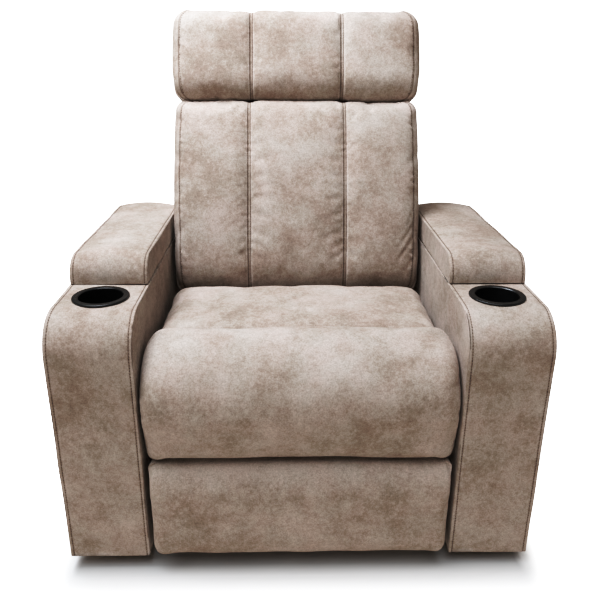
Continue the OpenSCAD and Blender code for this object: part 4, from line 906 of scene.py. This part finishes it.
# %% [markdown]
# ### Footrest panel
# The panel under the roll is what lifts the legs. It is a thin pad on a board, so it is a stuffed
# form with tight edges, and only its top edge rolls far, where it tucks in under the roll.

# %% Footrest panel
footrest_pad = stuffed(
    "footrest_pad_cover", standing(-0.015), hw=0.291, y0=0.0405, y1=0.244, corner=(0.022, 0.007), side=(0.014, 0.012),
    low=(0.010, 0.008), high=(0.060, 0.031), thick=0.074, crown=0.006, waist=0.001)
print("footrest panel", len(footrest_pad.data.vertices), "points")

# %% [markdown]
# ### Back and head
# Each is a front cushion with two sewn channels and a thin cover behind. They could be one closed
# bag, but the channels need far finer columns than the plain rear. So they are two covers, and
# both are drawn from one outline, so that they meet along their sides.

# %% Back and head
BACK_SEAM, HEAD_SEAM = 0.114, 0.1085
HEAD_LOW, HEAD_HIGH = 0.4460, 0.6614
REAR_GROWTH = (0.0004, 0.0006)  # the head's rear reaches past its front at its low and high end
BACK_OUTLINE = dict(hw=0.299, y0=-0.022, y1=0.4450, corner=(0.030, 0.026), barrel=0.008)
HEAD_OUTLINE = dict(hw=0.2985, y0=HEAD_LOW, y1=HEAD_HIGH, corner=(0.022, 0.034), barrel=0.009)
REAR_HALF, REAR_DEPTH = 0.2995, 0.0395
BACK_TO_REAR, HEAD_TO_REAR = 0.1653, 0.1353  # from the back's face to the rear covers' walls
REAR_EDGE = (0.010, 0.007)
REAR_FORM = dict(
    side=REAR_EDGE, low=REAR_EDGE, high=REAR_EDGE, thick=REAR_DEPTH, crown=0.0, waist=0.0, step=0.012, walls=4)

back_cushion = stuffed(
    "back_cushion_cover", leaning(), **BACK_OUTLINE, side=(0.024, 0.018), low=(0.080, 0.042), high=(0.034, 0.030),
    thick=0.165, crown=0.007, seams=(BACK_SEAM,), step=0.0065, puff=0.005, scallop=0.003, arch=0.015)
headrest_cushion = stuffed(
    "headrest_cushion_cover", leaning(), **HEAD_OUTLINE, side=(0.020, 0.015), low=(0.056, 0.033), high=(0.034, 0.029),
    thick=0.135, crown=0.006, seams=(HEAD_SEAM,), step=0.0065, puff=0.006, scallop=0.0035, arch=0.002)
back_rear = stuffed(
    "back_rear_cover", leaning(BACK_TO_REAR + REAR_DEPTH, True), **REAR_FORM,
    **{**BACK_OUTLINE, "hw": REAR_HALF, "y0": -0.072, "corner": (0.020, 0.026)})
headrest_rear = stuffed(
    "headrest_rear_cover", leaning(HEAD_TO_REAR + REAR_DEPTH, True), **REAR_FORM,
    **{**HEAD_OUTLINE, "hw": REAR_HALF, "y0": HEAD_LOW - REAR_GROWTH[0], "y1": HEAD_HIGH + REAR_GROWTH[1]})
print("back", len(back_cushion.data.vertices), "points, head", len(headrest_cushion.data.vertices))

# %% [markdown]
# ## Arms and lids
# An arm is a board box with thin foam, so its faces are nearly flat and its outline is a
# profile: up the front, round a big corner, back along the top, down the rear. One strip of
# cover runs along that profile, and a flat panel closes each side. The grid follows the same
# cut: a patch for each side, and a strip between them. A bevel then rounds the sewn edges.

# %% Profile and columns of an arm
STRIP_SEAM = 0.0064  # from the side face to the topstitch on the strip
STRIP_OFFSETS = np.array([0.0, 0.0036, 0.0047, 0.0056, STRIP_SEAM, 0.0072, 0.0082, 0.0105, 0.014])
STRIP_STEP = 0.009
CORNER_POINTS = 12
print("columns beside a strip's edge, in mm:", (STRIP_OFFSETS * 1000).round(1))


def straight(p, q, n):
    t = np.linspace(0, 1, n)[:, None]
    return np.array(p) * (1 - t) + np.array(q) * t


def profile(y0, y1, z0, z1, front_r, rear_r, step):
    """The front, top, rear and bottom edges of a side panel. Front and rear have equal counts."""
    n_up = max(6, int(round((z1 - front_r - z0) / step)))
    front, rear = (
        np.concatenate([straight((y, z0), (y, z1 - r), n_up),
                        arc(y + inward * r, z1 - r, (r, r), start, 90, CORNER_POINTS)[1:]])
        for y, r, inward, start in ((y0, front_r, 1, 180), (y1, rear_r, -1, 0)))
    n_top = int(round((y1 - y0 - front_r - rear_r) / step)) + 1
    return front, straight(front[-1], rear[-1], n_top), rear, straight(front[0], rear[0], n_top)


def loop_of(edges):
    """The profile in one line: up the front, along the top, down the rear."""
    front, top, rear, _ = edges
    return np.concatenate([front, top[1:-1], rear[::-1]])


def strip_columns(x0, x1):
    near = STRIP_OFFSETS
    count = int(round((x1 - x0 - 2 * near[-1]) / STRIP_STEP))
    middle = np.linspace(x0 + near[-1], x1 - near[-1], count + 1)[1:-1]
    return np.concatenate([x0 + near, middle, (x1 - near)[::-1]])


def side_panel(edges):
    """A patch stretched between the four edges of a side."""
    front, top, rear, bottom = edges
    t = np.linspace(0, 1, len(front))[:, None, None]
    s = np.linspace(0, 1, len(top))[None, :, None]
    corners = (1 - t) * ((1 - s) * front[0] + s * rear[0]) + t * ((1 - s) * front[-1] + s * rear[-1])
    return (1 - s) * front[:, None] + s * rear[:, None] + (1 - t) * bottom[None] + t * top[None] - corners


# %% Strip, side panels and rounded edges
SHARP = math.radians(60)


def round_edges(made, radius):
    """Rounds the sharp edges of a closed box."""
    def bevel(work):
        sharp = [e for e in work.edges if len(e.link_faces) == 2 and e.calc_face_angle(0) > SHARP]
        bmesh.ops.bevel(work, geom=sharp, offset=radius, offset_type="OFFSET", segments=4, profile=0.5,
                        affect="EDGES", clamp_overlap=True)
    edit(made, face_outwards, bevel)
    smooth_shaded(made)


def banded(name, x0, x1, edges, round_r, crown=0.0):
    """A closed box of one strip along the profile and two side panels, with rounded sewn edges."""
    bottom, loop, panel = edges[3], loop_of(edges), side_panel(edges)
    nz, ny = panel.shape[:2]
    places = [(i, 0) for i in range(nz)] + [(nz - 1, j) for j in range(1, ny - 1)]
    places += [(i, ny - 1) for i in range(nz - 1, -1, -1)]
    xs = strip_columns(x0, x1)
    index = np.zeros((len(loop), len(xs)), int)
    points, quads = [], []
    for side, x in ((0, x0), (1, x1)):
        block = np.arange(nz * ny).reshape(nz, ny) + side * nz * ny
        points.append(np.concatenate([np.full((nz * ny, 1), x), panel.reshape(-1, 2)], 1))
        quads.append(grid_quads(block) if side else grid_quads(block)[:, ::-1])
        index[:, -side] = [block[p] for p in places]
    start = 2 * nz * ny
    for k, x in enumerate(xs[1:-1], 1):
        points.append(np.concatenate([np.full((len(loop), 1), x), loop], 1))
        index[:, k] = np.arange(len(loop)) + start
        start += len(loop)
    under = np.zeros((len(xs), ny), int)
    under[0], under[-1] = np.arange(ny), np.arange(ny) + nz * ny
    under[1:-1, 0], under[1:-1, -1] = index[0, 1:-1], index[-1, 1:-1]
    for k, x in enumerate(xs[1:-1], 1):
        points.append(np.concatenate([np.full((ny - 2, 1), x), bottom[1:-1]], 1))
        under[k, 1:-1] = np.arange(ny - 2) + start
        start += ny - 2
    quads += [grid_quads(index), grid_quads(under)]
    made = mesh_object(name, np.concatenate(points).tolist(), np.concatenate(quads).tolist(),
                       Matrix.Translation((0, ARM_FRONT, 0)))
    round_edges(made, round_r)
    if crown:
        co = points_of(made)
        u = (co[:, 0] - (x0 + x1) / 2) / ((x1 - x0) / 2)
        z0, z1 = co[:, 2].min(), co[:, 2].max()
        co[:, 2] += crown * np.clip(1 - u ** 2, 0, 1) * ((co[:, 2] - z0) / (z1 - z0)) ** 2
        move_to(made, co)
    return made


# %% [markdown]
# The arm's cover is open where the cup holder and the storage bin sit. A cutter of the
# opening's own outline is made for each, taken away from the cover, and thrown out.

# %% Arms with their openings, and lids
ARM_INNER, ARM_OUTER = 0.302, 0.460
ARM_MID = (ARM_INNER + ARM_OUTER) / 2
LID_INNER, LID_OUTER = 0.304, 0.458
DECK, LID_TOP = 0.54, 0.595
CUP_Y, CUP_HOLE, CUP_CUT = 0.124, 0.047, 0.09
BIN_Y0, BIN_Y1, BIN_HALF, BIN_CUT = 0.2577, 0.6263, 0.0470, 0.155
CUT_OVER = 0.02  # a cutter stands this far out of the deck
CIRCLE_SIDES = 48
ARM_EDGES = profile(0.0, 0.70, 0.030, DECK, front_r=0.075, rear_r=0.012, step=0.012)
LID_EDGES = profile(0.192, 0.670, 0.5422, LID_TOP, front_r=0.046, rear_r=0.026, step=0.009)
LEFT_RIGHT = (("left", 1), ("right", -1))  # the sitter's left is on the side of positive x


def cut_out(made, outline, depth):
    """Takes a prism of that outline out of the deck."""
    n = len(outline)
    points = [(x, ARM_FRONT + y, z) for z in (DECK - depth, DECK + CUT_OVER) for x, y in outline]
    faces = [tuple(range(n - 1, -1, -1)), tuple(range(n, 2 * n))]
    faces += [(k, (k + 1) % n, n + (k + 1) % n, n + k) for k in range(n)]
    cutter = mesh_object("cutter", points, faces)
    apply_modifier(made, "BOOLEAN", operation="DIFFERENCE", solver="EXACT", object=cutter)
    bpy.data.objects.remove(cutter)


def arm_span(sign):
    return sorted((sign * ARM_INNER, sign * ARM_OUTER))


def lid_span(sign):
    return sorted((sign * LID_INNER, sign * LID_OUTER))


arm_covers, lid_covers = {}, {}
for label, sign in LEFT_RIGHT:
    mid = sign * ARM_MID
    cover = banded("arm_cover_" + label + "_skin", *arm_span(sign), ARM_EDGES, round_r=0.0042)
    circle = arc(mid, CUP_Y, (CUP_HOLE, CUP_HOLE), 0, 360, CIRCLE_SIDES + 1)[:-1]
    cut_out(cover, circle.tolist(), CUP_CUT)
    x0, x1 = mid - BIN_HALF, mid + BIN_HALF
    cut_out(cover, [(x0, BIN_Y0), (x1, BIN_Y0), (x1, BIN_Y1), (x0, BIN_Y1)], BIN_CUT)
    smooth_shaded(cover)
    arm_covers[sign] = cover
    lid_covers[sign] = banded("lid_pad_" + label + "_cover", *lid_span(sign), LID_EDGES, round_r=0.0048, crown=0.009)
    print(label, "arm", len(cover.data.vertices), "points, lid", len(lid_covers[sign].data.vertices))

# %% [markdown]
# ## From grid to upholstery
# Now each cover gets its seams, folds, worn places and painted light. A dent is a function of the distance to
# a seam. Two mesh attributes feed the nap. The lighter one mixes random wear with painted highlights on crests and
# painted top light at upper ends. "shaded" is painted shade, dark in the seams and along pinched edges.

# %% Blow up the stuffed covers
for made, seams, cap in (
        (seat_cushion, (), 0.007), (front_roll, (), 0.006), (footrest_pad, (), 0.004),
        (back_cushion, (BACK_SEAM,), 0.007), (headrest_cushion, (HEAD_SEAM,), 0.0045)):
    hold(made, seams)
    inflate(made, cap)
blow_up()

# %% Small folds and creases
FOLD_SIZES, BUNCH_SIZES = (0.011, 0.024), (0.09, 0.22)
FOLD_REACH = 0.011  # a fold has died out three times as far from its seam


def waves_along(along, distance, rng, count, sizes, skewed):
    out = np.zeros(len(along))
    for _ in range(count):
        size = rng.uniform(*sizes)
        skew = rng.uniform(-0.5, 0.5) if skewed else 0.0
        out += np.sin(2 * math.pi * (along + skew * distance) / size + rng.uniform(0, 6.28))
    return out


def puckers(along, distance, seed):
    """Small folds across a seam, which die out within a few centimetres and come in bunches."""
    rng = np.random.default_rng(seed)
    folded = waves_along(along, distance, rng, 6, FOLD_SIZES, True)
    bunch = waves_along(along, distance, rng, 3, BUNCH_SIZES, False)
    return folded / 2.4 * np.clip(0.5 + 0.25 * bunch, 0.1, 1.0) * np.exp(-np.abs(distance) / FOLD_REACH)


def crease(across, along, line):
    """A fold along a line on the cushion's face: (x0, y0, x1, y1, depth, width)."""
    x0, y0, x1, y1, depth, width = line
    run = np.array([x1 - x0, y1 - y0])
    t = np.clip(((across - x0) * run[0] + (along - y0) * run[1]) / (run @ run), 0, 1)
    d = np.hypot(across - x0 - t * run[0], along - y0 - t * run[1])
    taper = np.sin(math.pi * np.clip(t, 0.03, 0.97)) ** 0.7
    return -depth * taper * (1.7 * np.exp(-(d / width) ** 2) - np.exp(-(d / (2.3 * width)) ** 2))


def worn_clouds(points, seed, share):
    """Places that use has rubbed light here and there."""
    return np.clip(ripples(points, 0.3, seed) * 0.5 + 0.2, 0, 1) * share


# %% Press the seams into the stuffed covers
BORDER = 0.0165  # from the edge of a cushion's face to its border seam
STITCH_OFF = 0.0031  # from a channel's seam to each of its two rows of stitches
LIP_OFF = 0.0016  # from a seam to the crest beside it
CREST_OFF = 0.0055  # from a seam to the crest outside its stitches
SEAM_DENT, LIP, STITCH_DENT, BORDER_DENT = (0.0006, 0.0008), (0.0003, 0.0009), (0.0005, 0.0009), (0.0010, 0.0012)


def upholster(made, seams=(), border=False, pucker=0.0006, wave=0.0007, seed=1, creases=(), wear_and_top_light=None):
    """One subdivision, then channels, border seams at the sides, puckers, folds and soft waves.

    The last argument, (start, end, share) along the piece, paints the nap lighter from start to end: a painted top
    light.
    """
    apply_modifier(made, "SUBSURF", levels=1, render_levels=1)
    across, along, depth, side_gap, end_gap = floats_of(made, *READINGS)
    on_face = np.clip(1 - depth * 8, 0, 1)
    points = points_of(made)
    amount = ripples(points, 0.13, seed) * wave * np.clip((side_gap + 0.01) / 0.05, 0.15, 1)
    shaded = np.zeros(len(points))
    rubbed_and_lit = worn_clouds(points, seed + 5, 0.5)
    # Painted top light: the nap gets lighter towards the piece's upper end.
    if wear_and_top_light:
        rubbed_and_lit += np.clip((along - wear_and_top_light[0]) / (wear_and_top_light[1] - wear_and_top_light[0]), 0, 1) * wear_and_top_light[2]
    for s in seams:
        d = np.abs(np.abs(across) - s)
        amount -= on_face * (dent(d, SEAM_DENT) - dent(d - LIP_OFF, LIP) + dent(d - STITCH_OFF, STITCH_DENT))
        amount += on_face * puckers(along, d - STITCH_OFF, seed + 1) * pucker * 0.5
        # Painted shade darkens the seam and its two stitch rows, and a painted highlight lightens the crest outside the
        # stitches.
        dark = np.maximum(0.35 * groove(d, 0.0008), groove(d - STITCH_OFF, 0.0010))
        shaded = np.maximum(shaded, on_face * dark)
        rubbed_and_lit = np.maximum(rubbed_and_lit, on_face * groove(d - CREST_OFF, 0.002) * 0.8)
    if border:
        inner = side_gap - BORDER
        low_end = 1 + 0.8 * np.exp(-np.maximum(end_gap, 0) / 0.12)
        amount -= on_face * dent(inner, BORDER_DENT)
        inside = np.clip(0.5 + inner / 0.008, 0.2, 1) * (1 - groove(inner, 0.001))
        amount += on_face * puckers(along + 0.5 * across, inner, seed + 2) * pucker * 1.4 * low_end * inside
        # Painted shade darkens the border seam, and a painted highlight lightens a crest just outside it, towards the
        # edge.
        shaded = np.maximum(shaded, on_face * groove(inner, 0.0014) * 0.8)
        rubbed_and_lit = np.maximum(rubbed_and_lit, on_face * groove(inner + 0.005, 0.003) * 0.6)
    for line in creases:
        amount += on_face * crease(across, along, line)
    push(made, amount)
    set_float(made, "rubbed_and_lit", rubbed_and_lit)
    set_float(made, "shaded", shaded)
    print(made.name, len(points), "points, deepest dent", round(float(-amount.min()) * 1000, 2), "mm")


# %% Upholster the stuffed covers
BACK_CREASES = (
    (0.232, 0.045, 0.284, 0.118, 0.0016, 0.0050), (0.240, 0.085, 0.286, 0.152, 0.0013, 0.0045),
    (0.250, 0.026, 0.287, 0.070, 0.0015, 0.0045), (0.262, 0.135, 0.288, 0.198, 0.0009, 0.0040),
    (-0.286, 0.110, -0.250, 0.050, 0.0011, 0.0050), (-0.287, 0.165, -0.262, 0.115, 0.0008, 0.0040),
    (0.060, 0.006, 0.105, 0.030, 0.0008, 0.0050), (-0.10, 0.004, -0.05, 0.024, 0.0007, 0.0050))
ROLL_CREASES = (
    (-0.225, 0.470, -0.150, 0.466, 0.0010, 0.0035), (-0.200, 0.456, -0.135, 0.452, 0.0007, 0.0035),
    (0.150, 0.469, 0.215, 0.473, 0.0008, 0.0035))
# The last values given to the roll, panel, back and head paint their upper ends lighter, a painted top light.
upholster(seat_cushion, seed=11, wave=0.0010)
upholster(front_roll, seed=21, wave=0.0012, creases=ROLL_CREASES, wear_and_top_light=(0.375, 0.43, 0.45))
upholster(footrest_pad, seed=31, wear_and_top_light=(0.19, 0.235, 0.8))
upholster(back_cushion, (BACK_SEAM,), True, pucker=0.0010, seed=41, creases=BACK_CREASES, wear_and_top_light=(0.34, 0.43, 0.5))
upholster(headrest_cushion, (HEAD_SEAM,), True, pucker=0.0008, seed=51, wear_and_top_light=(0.60, 0.65, 0.5))
upholster(back_rear, seed=61)
upholster(headrest_rear, seed=71)

# %% [markdown]
# ### Covers of boards
# The arms and lids are covered boards, so they need no air. Their sewn edges are pinched, a
# groove runs under each row of topstitches, and thin foam lets the strip ripple beside it.

# %% Dress the arms and lids
STRIP_GROOVE, PINCH = (0.0007, 0.0013), (0.0014, 0.0012)
PINCH_OFF = 0.0012  # from a side face to the pinched line of its edge
STRIP_RIPPLE, RIPPLE_REACH = 0.00045, 0.015
HANDS_REACH = 0.2  # hands rest on this much of an arm's front end
BOARD_INSET, BOARD_LIFT = 0.0102, 0.003


def dress_box(made, x0, x1, wave, seed, hands=0.0):
    """Topstitched grooves on the strip, faint waves on the panels, and the two nap masks.

    hands is how far hands have rubbed the nap light at the front of the top.
    """
    points, normals = points_of(made), normals_of(made)
    side = np.abs(normals[:, 0])
    on_strip = np.clip((0.75 - side) / 0.3, 0, 1) * (normals[:, 2] > -0.5)
    edge = np.minimum(np.abs(points[:, 0] - x0), np.abs(points[:, 0] - x1))
    inner = edge - STRIP_SEAM
    d = np.minimum(np.abs(points[:, 0] - x0 - STRIP_SEAM), np.abs(points[:, 0] - x1 + STRIP_SEAM))
    at_edge = groove(edge - PINCH_OFF, PINCH[1]) * np.clip(1.3 - np.abs(side - 0.7) * 4, 0, 1) * (normals[:, 2] > -0.6)
    amount = ripples(points, 0.12, seed) * wave
    amount -= on_strip * dent(d, STRIP_GROOVE) + PINCH[0] * at_edge
    fade = np.exp(-np.maximum(inner, 0) / RIPPLE_REACH)
    amount += on_strip * (inner > 0) * ripples(points, 0.03, seed + 3, 7) * STRIP_RIPPLE * fade
    push(made, amount)
    # Painted highlight: the crests beside the strip's edge and its stitches are lighter.
    crest = on_strip * np.clip(groove(edge - 0.0038, 0.0012) * 0.3 + groove(inner - 0.003, 0.002) * 0.2, 0, 1)
    wear_and_top_light = worn_clouds(points, seed + 5, 0.4)
    near_front = np.clip((HANDS_REACH - points[:, 1] + points[:, 1].min()) / 0.06, 0, 1)
    wear_and_top_light += hands * np.clip((points[:, 2] - DECK + 0.055) / 0.04, 0, 1) * near_front
    # Painted shade in the stitch groove and along the pinched edge.
    set_float(made, "shaded", np.maximum(on_strip * groove(d, 0.0012) * 0.5, at_edge))
    set_float(made, "rubbed_and_lit", np.maximum(crest, wear_and_top_light))


def clear_board(made, x0, x1):
    """Tucks the underside in behind the lid's board, which shows when the lid is up."""
    co = points_of(made)
    front, rear = co[:, 1].min() + BOARD_INSET, co[:, 1].max() - BOARD_INSET
    under = (co[:, 2] < co[:, 2].min() + BOARD_LIFT / 2) & (co[:, 1] > front) & (co[:, 1] < rear)
    under &= (co[:, 0] > x0 + BOARD_INSET) & (co[:, 0] < x1 - BOARD_INSET)
    co[under, 2] += BOARD_LIFT
    move_to(made, co)
    print(made.name, "tucked points:", int(under.sum()))


for label, sign in LEFT_RIGHT:
    dress_box(arm_covers[sign], *arm_span(sign), wave=0.0006, seed=80 + sign, hands=0.3)
    dress_box(lid_covers[sign], *lid_span(sign), wave=0.0005, seed=90 + sign)
    clear_board(lid_covers[sign], *lid_span(sign))

# %% [markdown]
# ## Covers on their bodies
# Each cover stands for its CAD solid and rides on the same body. The table also gives how full each is:
# the arms are firm, the seat and back softer, and the loop does not read that value.

# %% Ride and replace
COVERS = [  # cover, CAD node, body, fill
    (seat_cushion, "seat_cushion", "seat", 0.8), (front_roll, "front_roll", "seat", 0.85),
    (footrest_pad, "footrest_pad", "footrest", 0.9), (back_cushion, "back_cushion", "back", 0.8),
    (back_rear, "back_rear_panel", "back", 0.9), (headrest_cushion, "headrest_cushion", "headrest", 0.8),
    (headrest_rear, "headrest_rear_panel", "headrest", 0.9),
    (arm_covers[1], "arm_cover_left", "base", 1.0), (arm_covers[-1], "arm_cover_right", "base", 1.0),
    (lid_covers[1], "lid_pad_left", "lid_left", 0.9), (lid_covers[-1], "lid_pad_right", "lid_right", 0.9),
]
for cover, node, body, fill in COVERS:
    cover.data.materials.clear()
    cover.data.materials.append(nubuck)
    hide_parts(node)
    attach(cover, body)
print(len(COVERS), "covers on their bodies")

# %% [markdown]
# ## Topstitching
# Rows follow the seams: two beside each channel, one inside each border, and one along both
# edges of every strip. Each row is given as a path in the piece's own measures.

# %% Paths of the seams
END_MARGIN = 0.012  # a row ends this far from the cushion's end
ROW_POINTS = 60
BORDER_ROW = 0.0028  # from the border seam to the row inside it
PATH_LIFT = 0.02  # paths run this far above the face, and rays find it


def on_form(place, x, y):
    """Points above a stuffed form's face, and the way its face looks at each."""
    path = [tuple(place @ Vector((a, b, PATH_LIFT))) for a, b in zip(x, y)]
    return np.array(path), np.tile(place.to_3x3() @ Vector((0, 0, 1)), (len(path), 1))


def form_rows(place, seam, outline):
    y = np.linspace(outline["y0"] + END_MARGIN, outline["y1"] - END_MARGIN, ROW_POINTS)
    rows = [on_form(place, np.full(len(y), sign * seam + off), y)
            for sign in (-1, 1) for off in (-STITCH_OFF, STITCH_OFF)]
    sides = half_width(y, **outline) - BORDER - BORDER_ROW
    return rows + [on_form(place, sign * sides, y) for sign in (-1, 1)]


def strip_rows(x0, x1, edges):
    """Two rows along a strip, with the outward direction at each point of the profile."""
    loop = loop_of(edges)
    run = np.gradient(loop, axis=0)
    run /= np.linalg.norm(run, axis=1, keepdims=True)
    out = np.stack([np.zeros(len(loop)), -run[:, 1], run[:, 0]], -1)
    return [(np.concatenate([np.full((len(loop), 1), x), loop + [ARM_FRONT, 0]], 1), out)
            for x in (x0 + STRIP_SEAM, x1 - STRIP_SEAM)]


# %% Sew every row
sew("back_stitches", back_cushion, "back", form_rows(leaning(), BACK_SEAM, BACK_OUTLINE))
sew("headrest_stitches", headrest_cushion, "headrest", form_rows(leaning(), HEAD_SEAM, HEAD_OUTLINE))
for label, sign in LEFT_RIGHT:
    sew("arm_stitches_" + label, arm_covers[sign], "base", strip_rows(*arm_span(sign), ARM_EDGES))
    sew("lid_stitches_" + label, lid_covers[sign], "lid_" + label, strip_rows(*lid_span(sign), LID_EDGES), reach=0.02)
